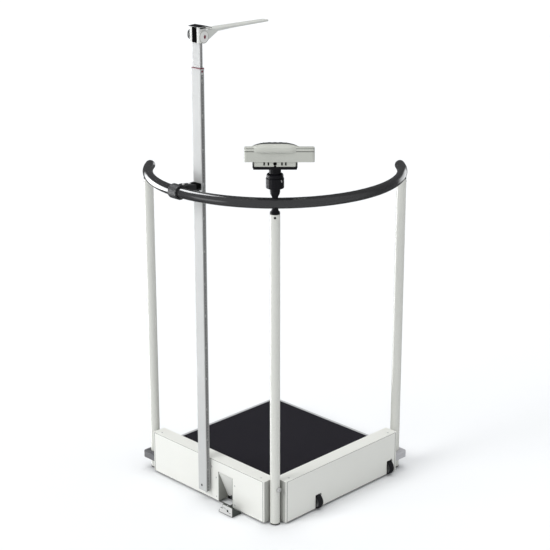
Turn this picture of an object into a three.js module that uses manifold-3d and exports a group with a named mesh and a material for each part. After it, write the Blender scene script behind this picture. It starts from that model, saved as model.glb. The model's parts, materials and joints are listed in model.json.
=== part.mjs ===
// A handrail scale: a low platform with a rubber mat, two upright side housings,
// three posts that carry a half-round handrail, a display on the front post and a
// telescopic measuring rod. Millimetres, +Z up. The platform's edges run along X and
// Y, the front post stands at the corner (+X, -Y), and people step on from -X or +Y.
import * as THREE from 'three';
import { mergeVertices } from 'three/addons/utils/BufferGeometryUtils.js';
import Module from 'manifold-3d';

const wasm = await Module();
wasm.setup();

// ---------------------------------------------------------------- driving dimensions
const GAP = 0.3; // clearance between pieces that touch

const PLATFORM = { half: 300, top: 60, bottom: 35.5, border: 14, bevel: 5, mat: 3, sheet: 2.5 };
const HOUSING = { length: 500, depth: 45, bottom: 6.5, top: 140, outer: 301, shift: 5 };
const HOUSING_WALL = { end: 4.7, sheet: 2 };
const POST = { ring: 384.2, radius: 14.7, bore: 12.7, bottom: 5, top: 961 };
const BOLT = { radius: 4, height: 116, headRadius: 7, headLength: 7, innerHead: 3.5, reach: 23, engaged: 8 };
const SPIGOT = { bottom: 934, flange: 5, coneTop: 15, saddle: 8.3 };
const RAIL = { radius: 15.7, bore: 13.7, height: 992, endAngle: 96.4 };
const ROD = { x: 5.75, y: -312.75, width: 36.5, depth: 15.5, wall: 2, bottom: 31, top: 1336.2 };
const INNER = { width: 31.5, depth: 10.5, wall: 1.5, bottom: 405, top: 1425 };
const HEAD = { bottom: 1414.8, top: 1459.5, front: -326, back: -296, left: -12.6, right: 27 };
const PIVOT = { y: -309, z: 1431.5, radius: 18.3, shaft: 5 };
const TONGUE = { thickness: 3, near: -276, tip: -54, bottom: 1446.3, cheek: 2.7, tipWidth: 27, tipRise: 3.2 };
const WHEEL = { radius: 24.2, width: 20, slot: 25, slotTop: 50, axle: 4, height: 25.2, inset: 9.5 };
const RECESS = { left: 56, right: 120, top: 104.5, depth: 39.5, lip: 24 };
const FOOT = { low: -220, high: 250, shift: 30, radius: 20, height: 7, stud: 4 };
const CELL = { length: 120, width: 25, bottom: 31, top: 51, padTop: 53.9, margin: 16, windowRadius: 6 };
const WHEELS_AT = [-109.5, 219.5]; // along the right housing, from its middle
const INLET = { width: 22, height: 11, axis: 15, front: 8, socket: 4, pin: 1.2 };
const BRACKET = { left: 98, step: 118, right: 158, front: -340, back: -302, low: 1, sheet: 4, top: 31, bore: 3 };
const CLAMP = { angle: 46.8, radius: 21.5, length: 34 };
const CONSOLE = { left: -85, right: 109, back: -32, front: 72, bottom: 1117, seam: 1145.7 };
const FACE = { tilt: 12, thickness: 10, wall: 3 };
const CHIN = { half: 59.5, back: -30, front: 56, bottom: 1100.6 };
const DOME = { x: 78, y: 62, z: 34, centreY: 52, centreZ: -2, flat: 26 };
const LCD = { halfWidth: 34, from: 34, to: 58 };
const KEYS = { xs: [-16, 0, 16], y: 70, radius: 5 };
const KNOB = { radius: 25.5, bottom: 1036, shoulder: 1065, top: 1078, bore: 17.4 };
const NECK = { radius: 16.8, shaft: 12, sleeve: 17, sleeveTop: 1062, shaftBottom: 1043, plate: 5 };

// ---------------------------------------------------------------- finishes
const PAINT = { color: 0xe6e7e2, roughness: 0.45, metalness: 0.0 };
const COVER_PAINT = { color: 0xdfe0da, roughness: 0.4, metalness: 0.0 };
const POST_PAINT = { color: 0xdcddd8, roughness: 0.35, metalness: 0.0 };
const ALUMINIUM = { color: 0xb8babb, roughness: 0.35, metalness: 0.9 };
const STEEL = { color: 0x9a9c9e, roughness: 0.3, metalness: 1.0 };
const RUBBER = { color: 0x2a292c, roughness: 0.85, metalness: 0.0 };
const BLACK_PLASTIC = { color: 0x232326, roughness: 0.5, metalness: 0.0 };
const RAIL_COAT = { color: 0x38383a, roughness: 0.2, metalness: 0.0 };
const RED_PLASTIC = { color: 0x7a2436, roughness: 0.45, metalness: 0.0 };
const WHITE_PLASTIC = { color: 0xe9e9e6, roughness: 0.5, metalness: 0.0 };
const GREY_PLASTIC = { color: 0xaeb0a8, roughness: 0.5, metalness: 0.0 };
const BUTTON_GREY = { color: 0x8a8c8c, roughness: 0.5, metalness: 0.0 };
const LCD_GREEN = { color: 0x6f7a66, roughness: 0.15, metalness: 0.0 };
const BOARD_GREEN = { color: 0x1f5a38, roughness: 0.6, metalness: 0.0 };

// ---------------------------------------------------------------- solid helpers
// A closed geometry as a solid, with its faces turned outwards.
function toSolid(geometry) {
  const bare = geometry.clone();
  bare.deleteAttribute('normal');
  bare.deleteAttribute('uv');
  const merged = mergeVertices(bare, 1e-4);
  const position = merged.attributes.position.array;
  const index = Uint32Array.from(merged.index.array);
  const corner = (k) => new THREE.Vector3().fromArray(position, 3 * index[k]);
  let volume = 0;
  for (let k = 0; k < index.length; k += 3) {
    volume += corner(k).dot(corner(k + 1).cross(corner(k + 2)));
  }
  if (volume < 0) index.reverse();
  const mesh = new wasm.Mesh({ numProp: 3, vertProperties: Float32Array.from(position), triVerts: index });
  return new wasm.Manifold(mesh);
}

function toGeometry(solid) {
  const mesh = solid.getMesh();
  const geometry = new THREE.BufferGeometry();
  geometry.setAttribute('position', new THREE.BufferAttribute(mesh.vertProperties, 3));
  geometry.setIndex(new THREE.BufferAttribute(mesh.triVerts, 1));
  geometry.computeVertexNormals();
  return geometry;
}

function piece(name, solid, finish) {
  const mesh = new THREE.Mesh(toGeometry(solid), new THREE.MeshStandardMaterial(finish));
  mesh.name = name;
  return mesh;
}

function group(position, turn, ...children) {
  const holder = new THREE.Group();
  holder.position.set(...position);
  holder.rotation.z = THREE.MathUtils.degToRad(turn);
  holder.add(...children);
  return holder;
}

function block([x0, x1], [y0, y1], [z0, z1], matrix = null) {
  const geometry = new THREE.BoxGeometry(x1 - x0, y1 - y0, z1 - z0);
  geometry.translate((x0 + x1) / 2, (y0 + y1) / 2, (z0 + z1) / 2);
  if (matrix) geometry.applyMatrix4(matrix);
  return toSolid(geometry);
}

// Which way a section's own X, Y and depth point when it is extruded along an axis.
const X = new THREE.Vector3(1, 0, 0);
const Y = new THREE.Vector3(0, 1, 0);
const Z = new THREE.Vector3(0, 0, 1);
const SECTION_AXES = { x: [Y, Z, X], y: [Z, X, Y], z: [X, Y, Z] };

// A section, as a Shape or as points, extruded along an axis between two heights.
// Sections across x are drawn in (y, z), across y in (z, x) and across z in (x, y).
function prism(section, axis, [from, to], segments = 4) {
  const shape = Array.isArray(section)
    ? new THREE.Shape(section.map((p) => new THREE.Vector2(...p)))
    : section;
  const geometry = new THREE.ExtrudeGeometry(shape, {
    depth: to - from,
    bevelEnabled: false,
    curveSegments: segments,
  });
  geometry.translate(0, 0, from);
  geometry.applyMatrix4(new THREE.Matrix4().makeBasis(...SECTION_AXES[axis]));
  return toSolid(geometry);
}

function roundedRect(width, height, radius, x = 0, y = 0) {
  const right = x + width / 2 - radius;
  const left = x - width / 2 + radius;
  const high = y + height / 2 - radius;
  const low = y - height / 2 + radius;
  const shape = new THREE.Shape();
  shape.absarc(right, high, radius, 0, Math.PI / 2);
  shape.absarc(left, high, radius, Math.PI / 2, Math.PI);
  shape.absarc(left, low, radius, Math.PI, 1.5 * Math.PI);
  shape.absarc(right, low, radius, 1.5 * Math.PI, 2 * Math.PI);
  return shape;
}

// A cylinder along an axis; centre is given in the section's own two coordinates.
function rod(radius, axis, span, [u, v] = [0, 0], segments = 12) {
  const circle = new THREE.Shape().absarc(u, v, radius, 0, 2 * Math.PI);
  return prism(circle, axis, span, segments);
}

// A solid of revolution about Z from (radius, height) points.
function lathe(points, segments = 24) {
  const geometry = new THREE.LatheGeometry(points.map((p) => new THREE.Vector2(...p)), segments);
  geometry.rotateX(Math.PI / 2);
  return toSolid(geometry);
}

function turned(solid, matrix) {
  return toSolid(toGeometry(solid).applyMatrix4(matrix));
}

// ---------------------------------------------------------------- platform
const inner = PLATFORM.half - PLATFORM.border;
const wallLine = HOUSING.outer - HOUSING.depth; // inner faces of both housings
const edge = wallLine - 2 * GAP;
const matTop = PLATFORM.top;
const trayTop = matTop - PLATFORM.mat - GAP;

function rubberMat() {
  return block([-inner, edge], [-edge, inner], [matTop - PLATFORM.mat, matTop]);
}

function deckTray() {
  const wall = PLATFORM.sheet;
  const low = PLATFORM.bottom + 1;
  const outside = block([-inner + GAP, edge], [-edge, inner - GAP], [low, trayTop]);
  const inside = block(
    [-inner + GAP + wall, edge - wall],
    [-edge + wall, inner - GAP - wall],
    [low - 1, trayTop - wall],
  );
  return outside.subtract(inside);
}

// The border profile, drawn outwards from the mat, with a bevel along its outer edge.
function borderProfile() {
  const { border, bevel, top, bottom } = PLATFORM;
  return [
    [0, bottom],
    [border - GAP, bottom],
    [border - GAP, top - bevel],
    [border - GAP - bevel, top],
    [0, top],
  ];
}

// The two border profiles meet in a mitre at the back corner (-X, +Y).
function edgeRailLeft() {
  const { half } = PLATFORM;
  const profile = borderProfile().map(([out, z]) => [z, -inner - GAP - out]);
  const bar = prism(profile, 'y', [-edge, half]);
  const mitre = [[-half - 1, -half], [0, -half], [0, 0], [-half - 1 + GAP, half + 1 - 2 * GAP]];
  return bar.intersect(prism(mitre, 'z', [0, 2 * matTop]));
}

function edgeRailBack() {
  const { half } = PLATFORM;
  const profile = borderProfile().map(([out, z]) => [inner + GAP + out, z]);
  const bar = prism(profile, 'x', [-half, edge]);
  const mitre = [[-half - 1, half + 1], [0, 0], [half, 0], [half, half + 1]];
  return bar.intersect(prism(mitre, 'z', [0, 2 * matTop]));
}

// A corner block fills the corner beyond a housing's end; a side post passes through it.
// It is drawn for the left corner.
function cornerBlock() {
  const { half, bevel, top, bottom } = PLATFORM;
  const end = HOUSING.length / 2 - HOUSING.shift + 2 * GAP;
  const plan = [
    [-half, -half + bevel],
    [-half + bevel, -half],
    [-end, -half],
    [-end, -edge - GAP],
    [-half, -edge - GAP],
  ];
  const body = prism(plan, 'z', [bottom, top]);
  const chamferX = prism([[top - bevel, -half], [top, -half], [top, -half + bevel]], 'y', [-half, 0]);
  const chamferY = prism([[-half, top - bevel], [-half + bevel, top], [-half, top]], 'x', [-half, 0]);
  const centre = -POST.ring * Math.SQRT1_2;
  const hole = rod(POST.radius + 0.5, 'z', [0, 2 * top], [centre, centre]);
  return body.subtract(chamferX).subtract(chamferY).subtract(hole);
}

// A bending-beam load cell: its pad carries the tray, its other end stands on the foot.
function loadCell() {
  const { length, width, bottom, top, padTop, margin, windowRadius } = CELL;
  const beam = block([-margin, length - margin], [-width / 2, width / 2], [bottom, top]);
  const pad = block([length - 3 * margin, length - margin], [-width / 2, width / 2], [top - 1, padTop]);
  const middle = (bottom + top) / 2;
  const ends = [length / 3, length / 3 + 2 * windowRadius];
  const windows = ends.map((x) => rod(windowRadius, 'y', [-width, width], [middle, x], 8));
  const slot = block(ends, [-width, width], [middle - 2, middle + 2]);
  const bore = rod(FOOT.stud + GAP, 'z', [0, 2 * top], [0, 0], 8);
  return windows.reduce((solid, hole) => solid.subtract(hole), beam.add(pad)).subtract(slot).subtract(bore);
}

// A levelling foot: a rubber-soled pad on a stud, with a nut under the load cell.
function levellingFoot() {
  const { radius, height, stud } = FOOT;
  const nut = 8;
  const nutTop = CELL.bottom - GAP;
  return lathe([
    [0, 0],
    [radius - 2, 0],
    [radius, 2],
    [radius, height - 2],
    [radius - 4, height],
    [nut, height + 5],
    [nut, nutTop],
    [stud, nutTop],
    [stud, CELL.top - 1],
    [0, CELL.top - 1],
  ], 20);
}

// ---------------------------------------------------------------- side housings
// Both housings are drawn along X with their outer face towards -Y, and centred.
const halfLength = HOUSING.length / 2;
const halfDepth = HOUSING.depth / 2;
// The post axes and the wheels' axle, from the housing's middle plane.
const postLine = HOUSING.outer - halfDepth - POST.ring * Math.SQRT1_2;
const axleLine = -halfDepth + WHEEL.inset;

// A folded steel shell, open below and in front, where its cover plate sits.
function housingShell() {
  const { bottom, top } = HOUSING;
  const { end: endWall, sheet } = HOUSING_WALL;
  const body = block([-halfLength, halfLength], [-halfDepth, halfDepth], [bottom, top]);
  const hollow = block(
    [-halfLength + endWall, halfLength - endWall],
    [-halfDepth - 1, halfDepth - sheet],
    [bottom - 1, top - sheet],
  );
  return body.subtract(hollow);
}

function boltHole(side) {
  const from = side * halfLength;
  const depth = 2 * HOUSING_WALL.end;
  return rod(BOLT.radius + GAP, 'x', [from - depth, from + depth], [postLine, BOLT.height], 8);
}

// The flat front plate, with a notch from its lower edge for each opening.
function coverPlate(notches) {
  const { bottom, top } = HOUSING;
  const { end: endWall, sheet } = HOUSING_WALL;
  const reach = halfLength - endWall - GAP;
  const plate = block([-reach, reach], [-halfDepth, -halfDepth + sheet], [bottom, top - sheet - GAP]);
  return notches.reduce(
    (solid, [from, to, height]) => solid.subtract(
      block([from, to], [-halfDepth - 1, -halfDepth + sheet + 1], [bottom - 1, height]),
    ),
    plate,
  );
}

const recessFrom = RECESS.left - HOUSING.shift;
const recessTo = RECESS.right - HOUSING.shift;

// A sloping plate between two cheeks closes the cable recess in the left housing.
function recessPlate() {
  const sheet = 1.5;
  const front = -halfDepth + GAP;
  const back = -halfDepth + RECESS.depth;
  const high = RECESS.top - GAP;
  const low = HOUSING.bottom + GAP;
  const from = recessFrom + GAP;
  const to = recessTo - GAP;
  const cheek = [[front, low], [back, low], [back, RECESS.lip], [front, high]];
  const slope = [
    [front, high],
    [front, high - 2 * sheet],
    [back, RECESS.lip - 2 * sheet],
    [back, RECESS.lip],
  ];
  return prism(slope, 'x', [from, to])
    .add(prism(cheek, 'x', [from, from + sheet]))
    .add(prism(cheek, 'x', [to - sheet, to]));
}

// The low-voltage inlet under the recess's lip: a sleeve with a centre pin.
function powerInlet() {
  const { width, height, axis, front, socket, pin } = INLET;
  const middle = (recessFrom + recessTo) / 2;
  const back = halfDepth - HOUSING_WALL.sheet - GAP;
  const body = block(
    [middle - width / 2, middle + width / 2],
    [front, back],
    [axis - height / 2, axis + height / 2],
  );
  const hole = rod(socket, 'y', [front - 1, back - 3], [axis, middle], 8);
  const centrePin = rod(pin, 'y', [front + 1, back - 2], [axis, middle], 4);
  return body.subtract(hole).add(centrePin);
}

// The junction board joins the four load-cell leads.
function junctionBoard() {
  const back = halfDepth - HOUSING_WALL.sheet - 2;
  const board = block([-130, -40], [back - 1.6, back], [50, 110]);
  const chips = [[-118, 62], [-92, 62], [-66, 62], [-105, 88]];
  return chips.reduce(
    (solid, [x, z]) => solid.add(block([x, x + 16], [back - 8, back - 1], [z, z + 12])),
    board,
  );
}

// The floor bracket holds the housing's foot end and the lead; it stands clear of the floor.
function floorBracket() {
  const { left, step, right, front, back, low, sheet, top, bore } = BRACKET;
  const foot = low + sheet;
  const base = block([left, right], [front, back], [low, foot]);
  const tail = block([left + 2, step + 3], [back - 1, back + 38], [low, foot]);
  const plate = block([step, right], [front, front + sheet], [low, top]);
  const ledge = block([left + 7, step + 1], [front, front + sheet], [low, top - 14]);
  const peg = block([left + 8, step - 1], [front + 9, front + 17], [low + 2, top - 6]);
  const gussetSide = [
    [front, low],
    [back, low],
    [back, foot],
    [front + sheet, top],
    [front, top],
  ];
  const gusset = prism(gussetSide, 'x', [right - sheet, right]);
  const hole = rod(bore, 'y', [front - 1, front + sheet + 1], [top - 14, step + 21], 8);
  return base.add(tail).add(plate).add(ledge).add(peg).add(gusset).subtract(hole);
}

function castor() {
  const { radius, width, axle } = WHEEL;
  const half = width / 2;
  const bore = axle + GAP;
  return lathe([
    [bore, -half + 2],
    [9, -half + 2],
    [11, -half],
    [radius - 5, -half],
    [radius - 1.3, -half + 4],
    [radius, 0],
    [radius - 1.3, half - 4],
    [radius - 5, half],
    [11, half],
    [9, half - 2],
    [bore, half - 2],
    [bore, -half + 2],
  ], 28);
}

// ---------------------------------------------------------------- posts and handrail
function postTube(boltAxis, [from, to]) {
  const { radius, bore, bottom, top } = POST;
  const tube = rod(radius, 'z', [bottom, top]).subtract(rod(bore, 'z', [bottom - 1, top + 1]));
  const centre = boltAxis === 'x' ? [0, BOLT.height] : [BOLT.height, 0];
  return tube.subtract(rod(BOLT.radius + GAP, boltAxis, [from * radius, to * radius], centre, 8));
}

// A rubber cap plugs each post's lower end.
function postFoot() {
  const plug = POST.bore - GAP;
  const rim = POST.bottom - GAP;
  const sole = 1.5;
  const plugTop = 22;
  return lathe([
    [0, sole],
    [POST.radius, sole],
    [POST.radius + 0.4, rim],
    [plug, rim],
    [plug, plugTop],
    [0, plugTop],
  ]);
}

// A bolt through the front post into the housing's end, with its head on the far side.
function throughBolt() {
  const face = POST.radius + GAP;
  const centre = [0, BOLT.height];
  const shank = rod(BOLT.radius, 'x', [-BOLT.reach, face + 2], centre, 8);
  const head = rod(BOLT.headRadius, 'x', [face, face + BOLT.headLength], centre, 8);
  return shank.add(head);
}

// A bolt from inside a housing's end wall into a side post.
function innerBolt() {
  const wallInside = POST.ring * Math.SQRT1_2 - halfLength + HOUSING.shift + HOUSING_WALL.end;
  const face = -wallInside - GAP;
  const centre = [0, BOLT.height];
  const shank = rod(BOLT.radius, 'x', [face - 1, BOLT.engaged], centre, 8);
  const head = rod(BOLT.headRadius, 'x', [face - BOLT.innerHead, face], centre, 8);
  return shank.add(head);
}

// The space the rail takes, as seen from a station on it: a ring about the platform's
// middle, which lies the ring's radius away along the station's own +Y.
function railSpace() {
  const clearance = RAIL.radius + 0.6;
  const steps = 24;
  const profile = [];
  for (let k = 0; k <= steps; k += 1) {
    const angle = (k / steps) * 2 * Math.PI;
    profile.push([POST.ring + clearance * Math.cos(angle), RAIL.height + clearance * Math.sin(angle)]);
  }
  return lathe(profile, 120).translate([0, POST.ring, 0]);
}

// The lower adapter: a spigot in the post, a flange, and a cone that saddles the rail.
function railAdapter() {
  const { bottom, flange, coneTop, saddle } = SPIGOT;
  const spigot = POST.bore - GAP;
  const rim = POST.radius - 0.4;
  const low = POST.top + GAP;
  const high = low + coneTop + 5; // inside the rail's space, where it is cut to a saddle
  return lathe([
    [0, bottom],
    [spigot, bottom],
    [spigot, low],
    [rim, low],
    [rim, low + flange],
    [saddle, low + coneTop],
    [saddle, high],
    [0, high],
  ]).subtract(railSpace());
}

// The rail's centre line, a circular arc about the platform's middle.
class RailLine extends THREE.Curve {
  getPoint(t, target = new THREE.Vector3()) {
    const angle = stationAngle(THREE.MathUtils.lerp(RAIL.endAngle, -RAIL.endAngle, t));
    return target.set(POST.ring * Math.cos(angle), POST.ring * Math.sin(angle), RAIL.height);
  }
}

// Turns an angle from the front post, positive towards the left post, into radians from +X.
function stationAngle(degrees) {
  return THREE.MathUtils.degToRad(-45 - degrees);
}

function stationPoint(degrees) {
  const angle = stationAngle(degrees);
  return [POST.ring * Math.cos(angle), POST.ring * Math.sin(angle), 0];
}

function handrail() {
  const ring = new THREE.Shape().absarc(0, 0, RAIL.radius, 0, 2 * Math.PI);
  ring.holes.push(new THREE.Path().absarc(0, 0, RAIL.bore, 0, 2 * Math.PI));
  const options = { steps: 40, curveSegments: 8, extrudePath: new RailLine() };
  return toSolid(new THREE.ExtrudeGeometry(ring, options));
}

// A rounded cap with a plug inside the rail's end; drawn along +X from the rail's end.
function railCap() {
  const dome = 11;
  const steps = 5;
  const plug = RAIL.bore - 1; // loose enough for the rail's bend
  const profile = [[0, -12], [plug, -12], [plug, GAP], [RAIL.radius, GAP], [RAIL.radius, 2]];
  for (let k = 1; k < steps; k += 1) {
    const angle = (k / steps) * Math.PI / 2;
    profile.push([RAIL.radius * Math.cos(angle), 2 + dome * Math.sin(angle)]);
  }
  profile.push([0, 2 + dome]);
  return turned(lathe(profile, 20), new THREE.Matrix4().makeRotationY(Math.PI / 2));
}

// ---------------------------------------------------------------- measuring rod
function tube(width, depth, wall, corner, span) {
  const outside = prism(roundedRect(width, depth, corner), 'z', span, 3);
  const bore = roundedRect(width - 2 * wall, depth - 2 * wall, corner / 2);
  return outside.subtract(prism(bore, 'z', [span[0] - 1, span[1] + 1], 2));
}

function rodCollar() {
  const wall = (ROD.width + 1.2 - INNER.width) / 2 - GAP;
  return tube(ROD.width + 1.2, ROD.depth + 1.2, wall, 2, [ROD.top + GAP, ROD.top + 7]);
}

// A distance piece between the rod's foot and the left housing's face.
function rodSpacer() {
  return block([ROD.x - 14, ROD.x + 14], [-HOUSING.outer - 3.6, -HOUSING.outer - GAP], [52, 128]);
}

// The clamp's inner half and its arm to the measuring rod, drawn about the rail's centre.
function railClampInner() {
  const { radius, length } = CLAMP;
  const face = POST.ring + ROD.y - ROD.depth / 2 - 1.1; // the rod's outer face, just short of it
  const z = RAIL.height;
  const half = rod(radius, 'x', [-length / 2, length / 2], [0, z], 12)
    .intersect(block([-length, length], [GAP, 2 * radius], [z - 50, z + 50]));
  const armSide = [
    [14, z + 15],
    [28, z + 17],
    [face, z + 18],
    [face, z - 2],
    [44, z - 3],
    [20, z - 9],
    [14, z - 12],
  ];
  const armPlan = [
    [-15, 0],
    [16, 0],
    [16, 22],
    [31, face - 16],
    [31, face + 1],
    [-1, face + 1],
    [-1, face - 18],
    [-15, 24],
  ];
  const arm = prism(armSide, 'x', [-16, 32]).intersect(prism(armPlan, 'z', [z - 20, z + 30]));
  return half.add(arm).subtract(railSpace());
}

function railClampOuter() {
  const { radius, length } = CLAMP;
  const z = RAIL.height;
  const half = rod(radius, 'x', [-length / 2, length / 2], [0, z], 12)
    .intersect(block([-length, length], [-2 * radius, -GAP], [z - 50, z + 50]));
  return half.subtract(railSpace());
}

// ---------------------------------------------------------------- measuring head
function headBody() {
  const { bottom, top, front, back, left, right } = HEAD;
  const outline = roundedRect(right - left, back - front, 3, (left + right) / 2, (front + back) / 2);
  const bore = roundedRect(INNER.width + 2 * GAP, INNER.depth + 2 * GAP, 1, ROD.x, ROD.y);
  const body = prism(outline, 'z', [bottom, top], 3);
  const socket = prism(bore, 'z', [bottom - 1, INNER.top + GAP], 2);
  const pivotBore = rod(PIVOT.shaft + GAP, 'x', [right - 13, right + 1], [PIVOT.y, PIVOT.z], 8);
  const buttonBore = rod(4 + GAP, 'x', [left - 1, left + 12], [PIVOT.y, PIVOT.z + 3], 8);
  return body.subtract(socket).subtract(pivotBore).subtract(buttonBore);
}

// An arched cover over the head, drawn as its side outline.
function headCap() {
  const low = HEAD.top + GAP;
  const start = HEAD.front - 2;
  const end = TONGUE.near - 1;
  const outline = [[start, low], [HEAD.back, low], [end, low - 7], [end, low - 5.5]];
  const steps = 8;
  for (let k = 1; k < steps; k += 1) {
    const t = k / steps;
    const rise = THREE.MathUtils.lerp(-5.5, 1, Math.min(1, 2 * t)) + 1.8 * Math.sin(Math.PI * t);
    outline.push([THREE.MathUtils.lerp(end, start, t), low + rise]);
  }
  outline.push([start, low + 1]);
  return prism(outline, 'x', [HEAD.left - 2, HEAD.right + 1]);
}

// A domed push button on the head's left side, with a stem in the head.
function releaseButton() {
  const radius = 15.5;
  const stem = 4;
  const profile = [
    [0, -9],
    [stem, -9],
    [stem, 4],
    [radius, 4],
    [radius, 9],
    [radius - 2, 12.4],
    [radius - 6.5, 13.8],
    [0, 14.4],
  ];
  const dome = turned(lathe(profile, 20), new THREE.Matrix4().makeRotationY(-Math.PI / 2));
  return dome.translate([HEAD.left, PIVOT.y, PIVOT.z + 3]);
}

// The tongue: pivot disc and web beside the head, a stub shaft in it, and the long plate.
function tongue() {
  const { near, tip, bottom, thickness, cheek, tipWidth, tipRise } = TONGUE;
  const side = HEAD.right + GAP;
  const outside = side + cheek;
  const top = bottom + thickness;
  const disc = rod(PIVOT.radius, 'x', [side, outside], [PIVOT.y, PIVOT.z], 14);
  const shaft = rod(PIVOT.shaft, 'x', [side - 12, side + 1], [PIVOT.y, PIVOT.z], 8);
  const webOutline = [
    [PIVOT.y + 4, PIVOT.z - 17],
    [PIVOT.y + 14, PIVOT.z - 11],
    [near + 20, bottom - 4],
    [near + 76, bottom - 1],
    [tip - 20, bottom + 1],
    [tip - 20, top],
    [near, top],
    [PIVOT.y - 3, PIVOT.z + 18],
  ];
  const web = prism(webOutline, 'x', [side, outside]);
  const left = HEAD.left;
  const plan = [
    [left, near],
    [outside, near],
    [outside, tip - 4],
    [outside - 3, tip],
    [outside - tipWidth, tip],
    [left, near + 30],
  ];
  const plateSide = [
    [near, bottom],
    [tip, bottom + 1.5],
    [tip, top + tipRise],
    [near, top],
  ];
  const plate = prism(plan, 'z', [bottom, top + tipRise]).intersect(prism(plateSide, 'x', [left, outside]));
  return disc.add(shaft).add(web).add(plate);
}

// ---------------------------------------------------------------- display console
// Drawn in the front post's frame: X to the right seen from outside, +Y towards the user.
function displayAdapter() {
  const { sleeve, sleeveTop, shaft } = NECK;
  const { saddle } = SPIGOT;
  const flange = KNOB.bottom - 1;
  const cone = POST.radius - 0.5;
  const low = RAIL.height + RAIL.radius / 2; // inside the rail's space, where it is cut to a saddle
  return lathe([
    [0, low],
    [saddle, low],
    [saddle, RAIL.height + RAIL.radius],
    [cone, flange - 5],
    [cone, flange - GAP],
    [sleeve, flange - GAP],
    [sleeve, sleeveTop],
    [shaft + GAP, sleeveTop],
    [shaft + GAP, flange + 5],
    [0, flange + 5],
  ]).subtract(railSpace());
}

// The clamp nut around the adapter's sleeve and the neck.
function clampKnob() {
  const { radius, bottom, shoulder, top, bore } = KNOB;
  const ring = radius - 2;
  return lathe([
    [bore, bottom],
    [radius - 2.5, bottom],
    [radius, bottom + 2.5],
    [radius, shoulder - 1],
    [radius - 1, shoulder],
    [ring - 1.5, shoulder],
    [ring - 1.5, shoulder + 2],
    [ring, shoulder + 3],
    [ring, top - 5],
    [ring - 4, top],
    [bore, top],
    [bore, bottom],
  ], 32);
}

// The neck turns in the adapter and carries the black base plate of the console.
function displayNeck() {
  const { radius, shaft, shaftBottom, sleeveTop, plate } = NECK;
  const depth = CHIN.front - CHIN.back;
  const plateTop = CHIN.bottom - GAP;
  const outline = roundedRect(2 * CHIN.half + 2, depth + 1, 5, 0, CHIN.back + depth / 2);
  const base = prism(outline, 'z', [plateTop - plate, plateTop], 3);
  const stem = lathe([
    [0, shaftBottom],
    [shaft, shaftBottom],
    [shaft, sleeveTop + 2],
    [radius, sleeveTop + 2],
    [radius, plateTop - 1],
    [0, plateTop - 1],
  ]);
  return stem.add(base);
}

// The face lies in a plane that drops towards the user from the seam at the back.
const faceFrame = new THREE.Matrix4()
  .makeTranslation(0, CONSOLE.back, CONSOLE.seam)
  .multiply(new THREE.Matrix4().makeRotationX(THREE.MathUtils.degToRad(-FACE.tilt)));

const consoleWidth = CONSOLE.right - CONSOLE.left;
const consoleMiddle = (CONSOLE.right + CONSOLE.left) / 2;

function consoleOutline(inset, length, startY) {
  const width = consoleWidth - 2 * inset;
  return roundedRect(width, length - 2 * inset, 8 - inset, consoleMiddle, startY + length / 2);
}

function chinOutline(inset) {
  const depth = CHIN.front - CHIN.back;
  return roundedRect(2 * (CHIN.half - inset), depth - 2 * inset, 6 - inset, 0, CHIN.back + depth / 2);
}

// The rear shell with its narrower chin, vent slots and two screw holes.
function consoleCase() {
  const { bottom, seam, back, front } = CONSOLE;
  const { wall } = FACE;
  const length = front - back;
  const outside = prism(consoleOutline(0, length, back), 'z', [bottom, seam + 10], 4)
    .add(prism(chinOutline(0), 'z', [CHIN.bottom, bottom + 1], 4));
  const hollow = prism(consoleOutline(wall, length, back), 'z', [bottom + wall, seam + 11], 3)
    .add(prism(chinOutline(wall), 'z', [CHIN.bottom + wall, bottom + wall + 1], 3));
  const aboveSeam = block([-150, 150], [-50, 150], [0, 60], faceFrame);
  const through = [back - 1, back + 3 * wall];
  const slots = [-29.5, -18, 19, 29.5].map((x) => block([x - 1.2, x + 1.2], through, [1108, 1115.5]));
  const holes = [[1112.5, 3], [1105.5, 2.4]].map(([z, r]) => rod(r, 'y', through, [z, 0], 5));
  const shell = outside.subtract(hollow).subtract(aboveSeam);
  return [...slots, ...holes].reduce((solid, cut) => solid.subtract(cut), shell);
}

function ellipsoid(shrink) {
  const geometry = new THREE.SphereGeometry(1, 32, 16);
  geometry.rotateX(Math.PI / 2);
  geometry.scale(DOME.x - shrink, DOME.y - shrink, DOME.z - shrink);
  geometry.translate(0, DOME.centreY, DOME.centreZ);
  return toSolid(geometry);
}

// The front shell: a slab with a flat-topped dome, open below, cut for window and keys.
// Drawn in the face's own frame.
function consoleFace() {
  const { front, back } = CONSOLE;
  const { tilt, thickness, wall } = FACE;
  const length = (front - back) / Math.cos(THREE.MathUtils.degToRad(tilt));
  const slab = prism(consoleOutline(0, length, 0), 'z', [GAP, thickness], 4);
  const keep = block([-150, 150], [-50, 150], [GAP, DOME.flat]);
  const outside = slab.add(ellipsoid(0).intersect(keep));
  const hollowKeep = block([-150, 150], [-50, 150], [-1, DOME.flat - wall]);
  const hollow = prism(consoleOutline(wall, length, 0), 'z', [-1, thickness - wall], 3)
    .add(ellipsoid(wall).intersect(hollowKeep));
  const window = block([-LCD.halfWidth, LCD.halfWidth], [LCD.from, LCD.to], [0, 50]);
  const keyHoles = KEYS.xs.map((x) => rod(KEYS.radius + GAP, 'z', [0, 50], [x, KEYS.y], 8));
  return keyHoles.reduce((solid, hole) => solid.subtract(hole), outside.subtract(hollow).subtract(window));
}

function lcdWindow() {
  const half = LCD.halfWidth - GAP;
  return block([-half, half], [LCD.from + GAP, LCD.to - GAP], [DOME.flat - 4, DOME.flat - 0.6]);
}

function faceKey(x) {
  return rod(KEYS.radius, 'z', [DOME.flat - 7, DOME.flat + 1.4], [x, KEYS.y], 8);
}

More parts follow.
